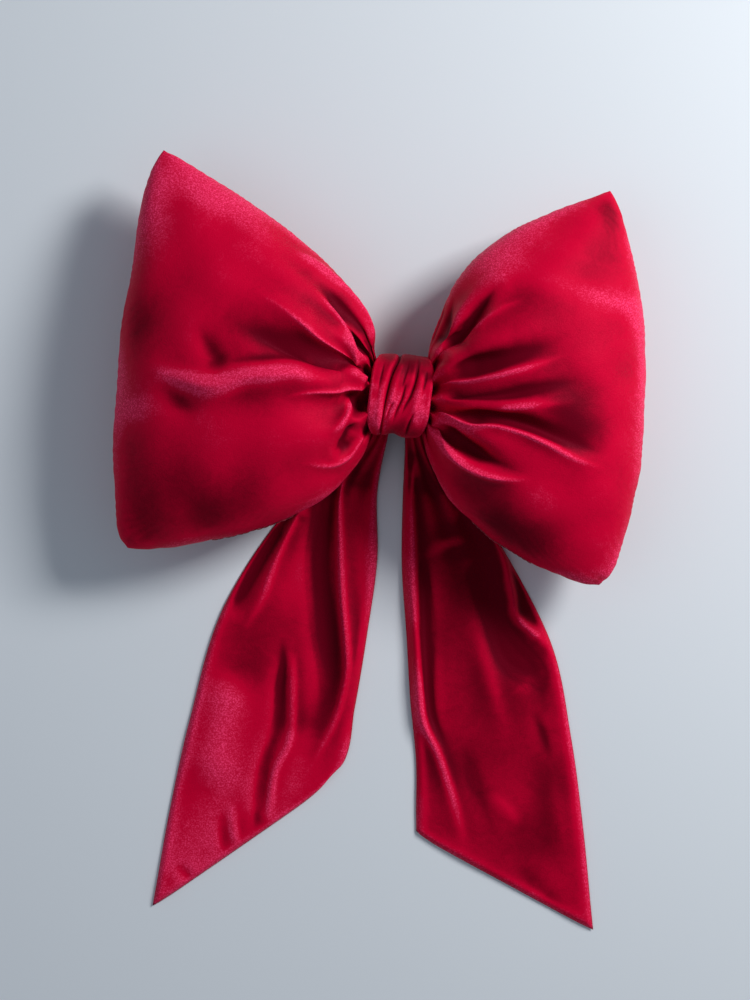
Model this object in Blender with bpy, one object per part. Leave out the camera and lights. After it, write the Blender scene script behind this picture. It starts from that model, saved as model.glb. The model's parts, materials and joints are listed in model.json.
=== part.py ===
"""A pre-made gift bow of stuffed velvet, lying face up on the floor Z = 0.

X runs across the bow, Y towards its top, and Z out of its front. Two stuffed loops
fold forward at the ends of a knot band. Two flat tails of doubled velvet are sewn
behind the knot: each swings at its gathered head, and its lower part lifts at the
line where the tail comes out from under the loops.

Everything is drawn with the knot's centre at X = Y = 0. The last step moves the bow
so that the origin is the centre of its outline on the floor. All sizes are in metres.
"""
import math

import bpy
import numpy as np

# ---- Cloth, thread and the clearance between touching pieces
CLOTH = 0.0016                  # one layer of a loop's velvet
TAIL_CLOTH = 0.0014             # one layer of a tail's velvet
GAP = 0.0003                    # between pieces that touch
THREAD_RADIUS = 0.0005

# ---- Knot band: a ruched tube of velvet around the gathered waist
BAND_WIDTH = 0.041              # along X
BAND_HEIGHT = 0.054             # along Y
BAND_DEPTH = 0.044              # along Z
BAND_WALL = 0.0030
BAND_FLAT = 0.0008              # how far the band's back is pressed flat
BAND_ROUNDNESS = 2.6            # exponent of the band's section, 2 is an ellipse

# ---- Waist: the pleated middle of the case inside the band
WAIST_PLEATS = 18
PLEAT_DEPTH = 0.0006
GROOVE_WIDTH = 0.008            # where the gathering thread pulls the pleats in
GROOVE_DEPTH = 0.0024
THREAD_TURNS = 3

# ---- Loops: two stuffed cushions, measured outwards from the knot's centre
SEAM_HEIGHT = 0.042             # the seam between front and back panel, and the knot's axis
NECK_CLEARANCE = 0.0035         # room between the gathered neck and the inside of the band
NECK_FRONT = 0.010              # the neck's stuffing in front of the seam
NECK_BACK = 0.012               # and behind it
FRONT_BELLY = 0.048             # the stuffing in front of the seam at the middle
BACK_BELLY = 0.052              # and behind it, before the floor presses it flat
FULL_AT = 0.55                  # share of the loop's length where it is fullest
LOOPS = {
    "left": {"side": -1, "reach": 0.180, "top_corner": (0.162, 0.146),
             "bottom_corner": (0.168, 0.112), "hem_rise": 0.022},
    "right": {"side": 1, "reach": 0.158, "top_corner": (0.124, 0.140),
              "bottom_corner": (0.139, 0.115), "hem_rise": 0.020},
}
CLOSING_STITCHES = 5            # ladder stitches that close the stuffing gap

# ---- Tails: (out, down) points of each edge, from the knot's centre
TAIL_HEAD_TOP = 0.0105          # the sewn head begins this far below the knot's centre
TAIL_PIVOT_DOWN = 0.017         # the stitched point on which a tail swings
TAIL_HEAD_INNER = 0.004
TAIL_HEAD_OUTER = 0.020
TAIL_HEAD_CLOTH = 0.0038        # one pleated layer at the head
HEAD_CLEARANCE = 0.0026         # room for the stitches between the head and the band's back
TAIL_FALL = (0.020, 0.060)      # the tail falls to the floor between these two
TAIL_LIFT_LINE = 0.122          # where the lower part lifts
TAILS = {
    "left": {"side": -1, "tip": 0.346, "corner": 0.257,
             "outer": ((0.066, 0.074), (0.104, 0.140), (0.123, 0.220), (0.139, 0.346)),
             "inner": ((0.010, 0.060), (0.008, 0.110), (0.015, 0.199), (0.026, 0.300))},
    "right": {"side": 1, "tip": 0.341, "corner": 0.287,
              "outer": ((0.062, 0.081), (0.110, 0.151), (0.139, 0.255), (0.152, 0.341)),
              "inner": ((0.006, 0.060), (0.012, 0.120), (0.026, 0.240), (0.034, 0.300))},
}

# ---- Tie loop: a ribbon strap across the band's back
STRAP_WIDTH = 0.011             # along X
STRAP_LENGTH = 0.0185           # along Y
STRAP_END = 0.0035              # each sewn end
STRAP_THICKNESS = 0.0010
STRAP_DROP = 0.0070             # how far it bows away from its ends
STRAP_CENTRE = 0.0005           # its middle above the knot's centre

# ---- Colours, as linear red, green and blue
VELVET = (0.45, 0.004, 0.025, 1.0)
VELVET_BACK = (0.36, 0.004, 0.022, 1.0)
FIBREFILL = (0.86, 0.85, 0.82, 1.0)
THREAD = (0.30, 0.006, 0.020, 1.0)
RIBBON = (0.42, 0.010, 0.030, 1.0)


# ==== Small geometry helpers
def bezier(start, handle_a, handle_b, end, t):
    """Points of a cubic Bezier curve at the parameters t, as rows."""
    t = np.atleast_1d(t)[:, None]
    p0, p1, p2, p3 = (np.asarray(p, float) for p in (start, handle_a, handle_b, end))
    return (1 - t) ** 3 * p0 + 3 * (1 - t) ** 2 * t * p1 + 3 * (1 - t) * t ** 2 * p2 + t ** 3 * p3


def smoothstep(x):
    """Rise smoothly from 0 to 1 as x goes from 0 to 1."""
    x = np.clip(x, 0.0, 1.0)
    return x * x * (3 - 2 * x)


def grid_triangles(rows, columns, offset=0, flip=False):
    """Two triangles for each cell of a rows by columns grid of points."""
    faces = []
    for i in range(rows - 1):
        for j in range(columns - 1):
            a = offset + i * columns + j
            cell = (a, a + columns, a + columns + 1, a + 1)
            faces.append((cell[0], cell[1], cell[2]))
            faces.append((cell[0], cell[2], cell[3]))
    return [face[::-1] for face in faces] if flip else faces


def slab(plan, low, high):
    """A closed body over a grid of plan points, between its low and high surfaces.

    plan is (rows, columns, 2) and runs so that rows x columns turns towards +Z.
    """
    rows, columns = low.shape
    count = rows * columns
    points = np.concatenate([
        np.dstack([plan, high]).reshape(-1, 3),
        np.dstack([plan, low]).reshape(-1, 3),
    ])
    rim = [(0, j) for j in range(columns - 1)]
    rim += [(i, columns - 1) for i in range(rows - 1)]
    rim += [(rows - 1, j) for j in range(columns - 1, 0, -1)]
    rim += [(i, 0) for i in range(rows - 1, 0, -1)]
    ring = [i * columns + j for i, j in rim]
    faces = grid_triangles(rows, columns) + grid_triangles(rows, columns, count, flip=True)
    for a, b in zip(ring, ring[1:] + ring[:1]):
        faces.append((a, b, b + count))
        faces.append((a, b + count, a + count))
    return points, faces


def signed_volume(points, faces):
    """Volume inside the faces; it is negative where they face inwards."""
    total = 0.0
    for face in faces:
        for k in range(1, len(face) - 1):
            a, b, c = points[face[0]], points[face[k]], points[face[k + 1]]
            total += float(np.dot(a, np.cross(b, c))) / 6
    return total


# ==== Scene helpers
def clear_scene():
    for item in list(bpy.data.objects):
        bpy.data.objects.remove(item, do_unlink=True)


def principled(name, colour, roughness=0.9):
    material = bpy.data.materials.new(name)
    material.use_nodes = True
    shader = material.node_tree.nodes["Principled BSDF"]
    shader.inputs["Base Color"].default_value = colour
    shader.inputs["Roughness"].default_value = roughness
    shader.inputs["Metallic"].default_value = 0.0
    material.diffuse_color = colour
    return material


def empty(name, position, parent):
    """A pivot on a joint's axis."""
    item = bpy.data.objects.new(name, None)
    item.empty_display_size = 0.01
    item.location = position
    item.parent = parent
    bpy.context.scene.collection.objects.link(item)
    return item


def body(name, points, faces, colour, pivot):
    """A mesh object drawn about its pivot, with its faces pointing out."""
    if signed_volume(points, faces) < 0:
        faces = [face[::-1] for face in faces]
    mesh = bpy.data.meshes.new(name)
    local = np.asarray(points, float) - np.array(pivot.location)
    mesh.from_pydata(local.tolist(), [], faces)
    mesh.materials.append(principled(name, colour))
    mesh.shade_smooth()
    mesh.set_sharp_from_angle(angle=math.radians(40))
    item = bpy.data.objects.new(name, mesh)
    item.parent = pivot
    bpy.context.scene.collection.objects.link(item)
    return item


def thread(name, route, pivot, radius=THREAD_RADIUS):
    """A round thread along the route, with filled ends."""
    curve = bpy.data.curves.new(name, "CURVE")
    curve.dimensions = "3D"
    curve.bevel_depth = radius
    curve.bevel_resolution = 1
    curve.use_fill_caps = True
    spline = curve.splines.new("POLY")
    spline.points.add(len(route) - 1)
    for point, place in zip(spline.points, np.asarray(route) - np.array(pivot.location)):
        point.co = (*place, 1.0)
    curve.materials.append(principled(name, THREAD))
    item = bpy.data.objects.new(name, curve)
    item.parent = pivot
    bpy.context.scene.collection.objects.link(item)
    return item


# ==== Knot
def band_section(angle, half_height, half_depth):
    """Y and Z of a rounded section about the knot's axis, flattened at the back."""
    c, s = np.cos(angle), np.sin(angle)
    power = 2 / BAND_ROUNDNESS
    y = half_height * np.sign(c) * np.abs(c) ** power
    z = half_depth * np.sign(s) * np.abs(s) ** power
    return y, SEAM_HEIGHT + z


def band_back_height(y):
    """Z of the outside of the band's back at a given Y."""
    share = (1 - (abs(y) * 2 / BAND_HEIGHT) ** BAND_ROUNDNESS) ** (1 / BAND_ROUNDNESS)
    return max(SEAM_HEIGHT - BAND_DEPTH / 2 * share, band_flat_height())


def band_flat_height():
    """Z of the band's flat back."""
    return SEAM_HEIGHT - BAND_DEPTH / 2 + BAND_FLAT


def neck_half_height():
    """Half of the gathered neck along Y, as it passes into the band."""
    return BAND_HEIGHT / 2 - BAND_WALL - NECK_CLEARANCE


def tail_head_floor():
    """Z of the underside of a tail's sewn head, which hangs below the band's back."""
    return band_flat_height() - HEAD_CLEARANCE - 2 * TAIL_HEAD_CLOTH - GAP


def knot_band(pivot):
    """The tube of velvet: an outer and an inner surface joined at both ends."""
    around = 36
    angle = np.linspace(0, 2 * math.pi, around, endpoint=False)
    half = BAND_WIDTH / 2
    stations = [(-half, 0.94), (-half + 0.002, 0.98), (-half / 3, 1.0),
                (half / 3, 1.0), (half - 0.002, 0.98), (half, 0.94)]
    rings = []
    for x, swell in stations:
        y, z = band_section(angle, BAND_HEIGHT / 2 * swell, BAND_DEPTH / 2 * swell)
        z = np.maximum(z, band_flat_height())
        rings.append(np.column_stack([np.full(around, x), y, z]))
    for x, _ in reversed(stations):
        y, z = band_section(angle, BAND_HEIGHT / 2 - BAND_WALL, BAND_DEPTH / 2 - BAND_WALL)
        rings.append(np.column_stack([np.full(around, x), y, z]))
    faces = []
    for i in range(len(rings)):
        for j in range(around):
            a, b = i * around + j, i * around + (j + 1) % around
            c = (i + 1) % len(rings) * around + (j + 1) % around
            d = (i + 1) % len(rings) * around + j
            faces += [(a, b, c), (a, c, d)]
    body("knot_band", np.concatenate(rings), faces, VELVET, pivot)


def waist_sizes(x):
    """Half height and half depth of the waist at x, before its pleats."""
    end = np.array([neck_half_height() - PLEAT_DEPTH, (NECK_FRONT + NECK_BACK) / 2 + CLOTH])
    room = np.array([BAND_HEIGHT, BAND_DEPTH]) / 2 - BAND_WALL - 2 * GAP - PLEAT_DEPTH
    swell = smoothstep((BAND_WIDTH / 2 - abs(x)) / 0.006)
    size = end + (room - end) * swell
    if abs(x) < GROOVE_WIDTH / 2:
        size = size - GROOVE_DEPTH - PLEAT_DEPTH
    return size


def waist_centre(x):
    """Height of the waist's axis: the neck's middle at its ends, the band's inside."""
    neck = SEAM_HEIGHT + (NECK_FRONT - NECK_BACK) / 2
    return neck + (SEAM_HEIGHT - neck) * smoothstep((BAND_WIDTH / 2 - abs(x)) / 0.006)


def waist_pleats(pivot):
    """The gathered middle of the case, with a groove where the thread is wound."""
    around = WAIST_PLEATS * 2
    angle = np.linspace(0, 2 * math.pi, around, endpoint=False)
    ripple = PLEAT_DEPTH * np.cos(WAIST_PLEATS * angle)
    half, groove = BAND_WIDTH / 2, GROOVE_WIDTH / 2
    stations = [-half, -half + 0.003, -half + 0.006, -groove - 0.0006, -groove + 0.0001,
                groove - 0.0001, groove + 0.0006, half - 0.006, half - 0.003, half]
    points = []
    for x in stations:
        height, depth = waist_sizes(x)
        y = (height + ripple) * np.cos(angle)
        z = waist_centre(x) + (depth + ripple) * np.sin(angle)
        points.append(np.column_stack([np.full(around, x), y, z]))
    faces = [tuple(range(around))[::-1]]
    for i in range(len(stations) - 1):
        for j in range(around):
            a, b = i * around + j, i * around + (j + 1) % around
            faces += [(a, b, b + around), (a, b + around, a + around)]
    last = (len(stations) - 1) * around
    faces.append(tuple(range(last, last + around)))
    body("waist_pleats", np.concatenate(points), faces, VELVET_BACK, pivot)


def gathering_thread(pivot):
    """A few turns of thread in the waist's groove."""
    height, depth = waist_sizes(0.0)
    away = PLEAT_DEPTH + GAP + THREAD_RADIUS + 0.0002
    per_turn = 20
    turn = np.arange(THREAD_TURNS * per_turn + 1) / per_turn
    pitch = 3.2 * THREAD_RADIUS
    x = (turn - THREAD_TURNS / 2) * pitch
    y = (height + away) * np.cos(2 * math.pi * turn)
    z = waist_centre(0.0) + (depth + away) * np.sin(2 * math.pi * turn)
    thread("gathering_thread", np.column_stack([x, y, z]), pivot)


def knot_band_stitches(pivot):
    """Whip stitches along the lap that closes the band at its back."""
    stitches = 6
    wave = np.linspace(0, 1, stitches * 6 + 1)
    x = (wave - 0.5) * (BAND_WIDTH - 0.011)
    y = 0.0140 + 0.0014 * np.sin(2 * math.pi * stitches * wave)
    away = GAP + THREAD_RADIUS + 0.0004
    z = np.array([band_back_height(value) for value in y]) - away
    thread("knot_band_stitches", np.column_stack([x, y, z]), pivot)


def back_tie_loop(pivot):
    """A ribbon strap that bows away from the band's flat back, sewn at both ends."""
    top = band_flat_height() - GAP
    half, foot = STRAP_LENGTH / 2, STRAP_LENGTH / 2 - STRAP_END
    y = np.array([-half, -foot, -foot + 0.0016, 0.0, foot - 0.0016, foot, half])
    drop = np.array([0.0, 0.0, STRAP_DROP * 0.85, STRAP_DROP, STRAP_DROP * 0.85, 0.0, 0.0])
    width = np.array([-STRAP_WIDTH / 2, STRAP_WIDTH / 2])
    plan = np.empty((len(y), len(width), 2))
    plan[..., 0] = -width[None, :]
    plan[..., 1] = STRAP_CENTRE + y[:, None]
    high = np.repeat((top - drop)[:, None], len(width), axis=1)
    low = high - STRAP_THICKNESS
    # The steep legs lean inwards, so that their thickness stays that of the ribbon.
    points, faces = slab(plan, low, high)
    lower = points[len(points) // 2:]
    steep = np.abs(np.abs(lower[:, 1] - STRAP_CENTRE) - foot) < 1e-6
    lower[steep, 1] += np.sign(lower[steep, 1] - STRAP_CENTRE) * STRAP_THICKNESS
    body("back_tie_loop", points, faces, RIBBON, pivot)
    for name, sign in (("upper", 1), ("lower", -1)):
        wave = np.linspace(0, 1, 13)
        x = (wave - 0.5) * (STRAP_WIDTH - 0.002)
        along = STRAP_CENTRE + sign * (half - 0.0012)
        y_stitch = along + 0.0006 * np.sin(2 * math.pi * 3 * wave)
        z = np.full(len(wave), top - STRAP_THICKNESS - GAP - THREAD_RADIUS - 0.0001)
        thread(f"tie_loop_{name}_stitches", np.column_stack([x, y_stitch, z]), pivot)


# ==== Loops
def loop_curves(loop):
    """The loop's four edges as functions: bottom, top, neck and outer edge."""
    neck_x = BAND_WIDTH / 2 + GAP
    top, bottom = np.array(loop["top_corner"]), np.array(loop["bottom_corner"]) * (1, -1)
    neck_top, neck_bottom = (neck_x, neck_half_height()), (neck_x, -neck_half_height())
    swell = (loop["reach"] - (top[0] + bottom[0]) / 8) / 0.75
    along_top = 0.42 * (top[0] - neck_x)
    along_bottom = 0.48 * (bottom[0] - neck_x)
    return {
        "bottom": lambda t: bezier(neck_bottom, (neck_x + 0.003, 0.66 * bottom[1]),
                                   bottom + (-along_bottom, loop["hem_rise"]), bottom, t),
        "top": lambda t: bezier(neck_top, (neck_x + 0.003, 0.66 * top[1]),
                                top + (-along_top, -loop["hem_rise"]), top, t),
        "neck": lambda s: bezier(neck_bottom, (neck_x, neck_bottom[1] / 3),
                                 (neck_x, neck_top[1] / 3), neck_top, s),
        "outer": lambda s: bezier(bottom, (swell, 0.55 * bottom[1]), (swell, 0.4 * top[1]), top, s),
    }


def loop_plan(loop, u, v):
    """Plan points of the loop: u from neck to outer edge, v from bottom to top edge."""
    edges = loop_curves(loop)
    s = (v + 1) / 2
    bottom, top = edges["bottom"](u)[:, None, :], edges["top"](u)[:, None, :]
    neck, outer = edges["neck"](s)[None, :, :], edges["outer"](s)[None, :, :]
    across, along = s[None, :, None], u[:, None, None]
    straight_neck = neck[:, :1] * (1 - across) + neck[:, -1:] * across
    straight_outer = outer[:, :1] * (1 - across) + outer[:, -1:] * across
    plan = bottom * (1 - across) + top * across
    plan = plan + (1 - along) * (neck - straight_neck) + along * (outer - straight_outer)
    plan[..., 0] *= loop["side"]
    return plan


def fullness(u, v, neck, belly):
    """Stuffing on one side of the seam: thin at the neck, full in the belly."""
    rise = np.sin(math.pi / 2 * np.minimum(u / FULL_AT, 1)) ** 2
    fall = (1 - np.clip((u - FULL_AT) / (1 - FULL_AT), 0, 1) ** 2.2) ** 0.5
    across = (1 - np.abs(v) ** 2.2) ** 0.6
    return ((neck + (belly - neck) * rise) * fall)[:, None] * across[None, :]


def neck_top_height():
    return SEAM_HEIGHT + GAP / 2 + CLOTH + NECK_FRONT


def stuffed_loop(name, loop, pivot):
    """Front panel, back panel and filling, as parallel surfaces over one grid."""
    u = 0.5 - 0.5 * np.cos(np.linspace(0, math.pi, 14))
    v = np.sin(np.linspace(-math.pi / 2, math.pi / 2, 15))
    plan = loop_plan(loop, u, v)
    front_in = SEAM_HEIGHT + GAP / 2 + fullness(u, v, NECK_FRONT, FRONT_BELLY)
    back_out = SEAM_HEIGHT - GAP / 2 - CLOTH - fullness(u, v, NECK_BACK, BACK_BELLY)
    back_out = np.maximum(back_out, 0.0)
    back_in = back_out + CLOTH
    panels = (("front_panel", front_in, front_in + CLOTH, VELVET),
              ("back_panel", back_out, back_in, VELVET_BACK))
    for piece, low, high, colour in panels:
        body(f"{name}_loop_{piece}", *slab(plan, low, high), colour, pivot)
    inside = (slice(1, -1), slice(1, -1))
    low, high = back_in[inside] + GAP, front_in[inside] - GAP
    body(f"{name}_loop_filling", *slab(plan[inside], low, high), FIBREFILL, pivot)


def closing_stitches(name, loop, pivot):
    """Ladder stitches along the bottom edge, where the loop was stuffed."""
    edge = loop_curves(loop)["bottom"]
    wave = np.linspace(0, 1, CLOSING_STITCHES * 6 + 1)
    t = 0.50 + 0.22 * wave
    along = edge(t + 0.01) - edge(t - 0.01)
    along /= np.linalg.norm(along, axis=1)[:, None]
    outward = np.column_stack([along[:, 1], -along[:, 0]])
    route = edge(t) + outward * (GAP + THREAD_RADIUS + 0.0006)
    z = SEAM_HEIGHT + 0.0010 * np.sin(2 * math.pi * CLOSING_STITCHES * wave)
    points = np.column_stack([route[:, 0] * loop["side"], route[:, 1], z])
    thread(f"{name}_loop_closing_stitches", points, pivot)


# ==== Tails
def edge_out(points, head_out, down):
    """How far out a tail's edge is at each distance down: a smooth curve through points."""
    points = np.array(((head_out, TAIL_HEAD_TOP), (head_out, TAIL_FALL[0])) + points)
    slope = np.gradient(points[:, 0], points[:, 1])
    index = np.clip(np.searchsorted(points[:, 1], down) - 1, 0, len(points) - 2)
    start, end = points[index], points[index + 1]
    span = end[..., 1] - start[..., 1]
    t = (down - start[..., 1]) / span
    inside = np.clip(t, 0.0, 1.0)
    a, b = slope[index] * span, slope[index + 1] * span
    out = (start[..., 0] * (2 * inside ** 3 - 3 * inside ** 2 + 1)
           + a * (inside ** 3 - 2 * inside ** 2 + inside)
           + end[..., 0] * (3 * inside ** 2 - 2 * inside ** 3)
           + b * (inside ** 3 - inside ** 2))
    return out + (t - inside) * b


def tail_plan(tail, first, last, rows):
    """Plan points of a stretch of tail; first and last give its ends at each column."""
    share = np.linspace(0, 1, first.shape[0])
    down = first[None, :] + (last - first)[None, :] * np.linspace(0, 1, rows)[:, None]
    outer = edge_out(tail["outer"], TAIL_HEAD_OUTER, down)
    inner = edge_out(tail["inner"], TAIL_HEAD_INNER, down)
    out = inner + (outer - inner) * share[None, :]
    return np.dstack([out * tail["side"], -down])


def tail_layers(plan):
    """Low surface, middle and high surface of the doubled tail over its plan."""
    fallen = smoothstep((-plan[..., 1] - TAIL_FALL[0]) / (TAIL_FALL[1] - TAIL_FALL[0]))
    low = tail_head_floor() * (1 - fallen)
    layer = TAIL_HEAD_CLOTH + (TAIL_CLOTH - TAIL_HEAD_CLOTH) * fallen
    return low, low + layer, low + layer + GAP, low + 2 * layer + GAP


def tail_stretch(name, tail, stretch, first, last, rows, pivot):
    plan = tail_plan(tail, first, last, rows)
    back_low, back_high, front_low, front_high = tail_layers(plan)
    front = slab(plan, front_low, front_high)
    back = slab(plan, back_low, back_high)
    body(f"{name}_tail_{stretch}_front_layer", *front, VELVET, pivot)
    body(f"{name}_tail_{stretch}_back_layer", *back, VELVET_BACK, pivot)


def tail_thickness():
    return 2 * TAIL_CLOTH + GAP


def tail(name, shape, swing, lift):
    """An upper stretch that swings behind the knot and a lower one that lifts."""
    columns = 9
    share = np.linspace(0, 1, columns)
    head = np.full(columns, TAIL_HEAD_TOP)
    fold = np.full(columns, TAIL_LIFT_LINE)
    hem = shape["corner"] + (shape["tip"] - shape["corner"]) * share
    tail_stretch(name, shape, "upper", head, fold - GAP, 12, swing)
    tail_stretch(name, shape, "lower", fold + GAP, hem, 10, lift)
    head_stitches(name, shape, swing)


def head_stitches(name, shape, pivot):
    """Thread wound round the gathered head of a tail."""
    turns, per_turn = 2, 16
    turn = np.arange(turns * per_turn + 1) / per_turn
    middle = (TAIL_HEAD_INNER + TAIL_HEAD_OUTER) / 2
    away = GAP + THREAD_RADIUS + 0.0002
    half_width = (TAIL_HEAD_OUTER - TAIL_HEAD_INNER) / 2 + away
    half_depth = TAIL_HEAD_CLOTH + GAP / 2 + away
    c, s = np.cos(2 * math.pi * turn), np.sin(2 * math.pi * turn)
    squarish = 0.25
    out = middle + half_width * np.sign(c) * np.abs(c) ** squarish
    z = tail_head_floor() + TAIL_HEAD_CLOTH + GAP / 2
    z = z + half_depth * np.sign(s) * np.abs(s) ** squarish
    down = TAIL_HEAD_TOP + 0.0035 + 3.0 * THREAD_RADIUS * turn
    thread(f"{name}_tail_head_stitches", np.column_stack([out * shape["side"], -down, z]), pivot)


# ==== The whole bow
def stand_at_box_centre(root):
    """Move the bow so that the origin is the middle of its box, on the floor."""
    bpy.context.view_layer.update()
    graph = bpy.context.evaluated_depsgraph_get()
    corners = []
    for item in bpy.data.objects:
        if item.type == "EMPTY":
            continue
        shape = item.evaluated_get(graph).to_mesh()
        flat = np.empty(len(shape.vertices) * 3)
        shape.vertices.foreach_get("co", flat)
        local = np.column_stack([flat.reshape(-1, 3), np.ones(len(shape.vertices))])
        world = local @ np.array(item.matrix_world).T
        corners += [world[:, :3].min(axis=0), world[:, :3].max(axis=0)]
        item.evaluated_get(graph).to_mesh_clear()
    low, high = np.min(corners, axis=0), np.max(corners, axis=0)
    root.location = (-(low[0] + high[0]) / 2, -(low[1] + high[1]) / 2, -low[2])
    bpy.context.view_layer.update()


def main():
    clear_scene()
    root = empty("bow", (0, 0, 0), None)
    knot = empty("knot_pivot", (0, 0, 0), root)
    knot_band(knot)
    waist_pleats(knot)
    gathering_thread(knot)
    knot_band_stitches(knot)
    back_tie_loop(knot)
    for name, loop in LOOPS.items():
        fold_x = loop["side"] * (BAND_WIDTH + GAP) / 2
        pivot = empty(f"{name}_loop_pivot", (fold_x, 0, neck_top_height()), root)
        stuffed_loop(name, loop, pivot)
        closing_stitches(name, loop, pivot)
    middle = (TAIL_HEAD_INNER + TAIL_HEAD_OUTER) / 2
    for name, shape in TAILS.items():
        swing_at = (shape["side"] * middle, -TAIL_PIVOT_DOWN, tail_head_floor())
        swing = empty(f"{name}_tail_swing_pivot", swing_at, root)
        lift_at = (shape["side"] * middle, -TAIL_LIFT_LINE, tail_thickness())
        lift = empty(f"{name}_tail_lift_pivot", lift_at, root)
        tail(name, shape, swing, lift)
    stand_at_box_centre(root)


main()
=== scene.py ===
# %% [markdown]
# # A stuffed velvet gift bow
#
# This lesson dresses a finished CAD frame of a gift bow in cloth. The bow has two
# stuffed loops, a ruched knot band and two flat tails with slanted ends, all of the
# same crimson velvet, and it lies face up on a pale floor.
#
# The frame holds the bodies and their joints. The band, the waist and the threads made
# here ride on those bodies; the loop cushions and the tail strips stay where they are made.

# %% Load the frame
import math
import json

import bpy
import numpy as np
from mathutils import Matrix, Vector


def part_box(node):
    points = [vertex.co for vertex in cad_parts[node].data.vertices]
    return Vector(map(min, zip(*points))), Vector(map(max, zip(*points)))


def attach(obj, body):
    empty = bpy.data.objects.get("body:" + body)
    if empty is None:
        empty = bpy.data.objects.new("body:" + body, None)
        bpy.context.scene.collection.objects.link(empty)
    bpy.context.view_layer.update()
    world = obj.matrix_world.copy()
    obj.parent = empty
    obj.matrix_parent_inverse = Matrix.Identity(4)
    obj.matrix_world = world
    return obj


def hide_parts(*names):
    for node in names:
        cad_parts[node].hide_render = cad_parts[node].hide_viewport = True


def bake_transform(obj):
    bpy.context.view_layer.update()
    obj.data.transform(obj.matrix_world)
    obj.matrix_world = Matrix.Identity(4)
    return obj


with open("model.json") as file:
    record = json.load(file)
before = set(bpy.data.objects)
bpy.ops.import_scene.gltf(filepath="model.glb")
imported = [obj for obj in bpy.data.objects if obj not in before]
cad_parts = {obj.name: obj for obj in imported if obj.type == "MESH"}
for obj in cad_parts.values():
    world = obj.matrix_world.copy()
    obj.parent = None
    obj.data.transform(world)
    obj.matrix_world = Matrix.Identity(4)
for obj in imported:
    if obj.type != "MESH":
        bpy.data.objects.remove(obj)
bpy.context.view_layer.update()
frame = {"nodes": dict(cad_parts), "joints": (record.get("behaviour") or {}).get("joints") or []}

# %% [markdown]
# ## Where things are
#
# Every place below is measured from the knot: the bow is sewn from there outwards.
# So the middle of the knot band comes from the frame, and the size of each loop
# comes from the box of its CAD panel.

# %% Places taken from the frame
band_low, band_high = (np.array(corner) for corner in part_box("knot_band"))
KNOT = (band_low + band_high) / 2
KNOT[2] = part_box("left_loop_front_panel")[0][2]          # the loops' seam is the knot's axis
BAND_HALF = (band_high - band_low) / 2
SIDES = {"left": -1, "right": 1}
JOINTS = {joint["name"]: joint for joint in frame["joints"]}
print("knot centre, mm:", np.round(KNOT * 1000, 1))


# %% The size of each loop
def loop_size(name):
    """How far a loop reaches out, up and down from the knot's centre."""
    low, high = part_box(f"{name}_loop_front_panel")
    reach = max(abs(low[0] - KNOT[0]), abs(high[0] - KNOT[0]))
    return reach, high[1] - KNOT[1], KNOT[1] - low[1]


for name in SIDES:
    print(f"{name} loop, out, up and down, mm:", np.round(np.array(loop_size(name)) * 1000, 1))


# %% [markdown]
# ## Small tools
#
# A surface here is a grid of points worked out with whole numpy arrays. Two grids
# that share their rim make a closed case, as two cut panels do when they are sewn
# together along their edges. One function builds every such case.

# %% Curves and grids
def bezier(points, t):
    """Cubic Bezier curve: each point weighted by its Bernstein polynomial of t."""
    t = np.atleast_1d(t)[:, None]
    p0, p1, p2, p3 = (np.asarray(p, float) for p in points)
    return (1 - t) ** 3 * p0 + 3 * (1 - t) ** 2 * t * p1 + 3 * (1 - t) * t ** 2 * p2 + t ** 3 * p3


def even_steps(curve, count):
    """Parameters at which a curve is cut into stretches of equal length."""
    fine = np.linspace(0, 1, 600)
    steps = np.linalg.norm(np.diff(curve(fine), axis=0), axis=1)
    length = np.concatenate([[0.0], np.cumsum(steps)])
    return np.interp(np.linspace(0, length[-1], count), length, fine)


def smoothstep(x):
    """0 before 0, 1 after 1, and 3x^2 - 2x^3 between."""
    x = np.clip(x, 0.0, 1.0)
    return x * x * (3 - 2 * x)


print("smoothstep at 0, 0.25 and 0.5:", smoothstep(np.array([0, 0.25, 0.5])))


# %% Smooth curves and soft noise
def smooth_curve(knots, x):
    """Cubic Hermite curve y(x) through (x, y) knots, with slopes from their neighbours."""
    knots = np.asarray(knots, float)
    slope = np.gradient(knots[:, 1], knots[:, 0])
    i = np.clip(np.searchsorted(knots[:, 0], x) - 1, 0, len(knots) - 2)
    span = knots[i + 1, 0] - knots[i, 0]
    t = (x - knots[i, 0]) / span
    inside = np.clip(t, 0, 1)
    a, b = slope[i] * span, slope[i + 1] * span
    value = (knots[i, 1] * (1 + 2 * inside) * (1 - inside) ** 2
             + a * inside * (1 - inside) ** 2
             + knots[i + 1, 1] * inside ** 2 * (3 - 2 * inside)
             + b * inside ** 2 * (inside - 1))
    return value + (t - inside) * b


def soft_noise(points, seed, size, waves=24):
    """Sum of sine waves in random directions, about -1 to 1, with bumps of a given size."""
    rng = np.random.default_rng(seed)
    direction = rng.normal(size=(waves, points.shape[-1]))
    direction /= np.linalg.norm(direction, axis=1)[:, None]
    pace = 2 * math.pi / (size * rng.uniform(0.7, 1.5, waves))
    phase = rng.uniform(0, 2 * math.pi, waves)
    angle = points @ direction.T * pace + phase
    return np.sin(angle).sum(axis=-1) / math.sqrt(waves)


print("halfway along a smooth curve:", smooth_curve(((0, 0), (1, 1), (2, 0)), 1.5))

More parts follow.
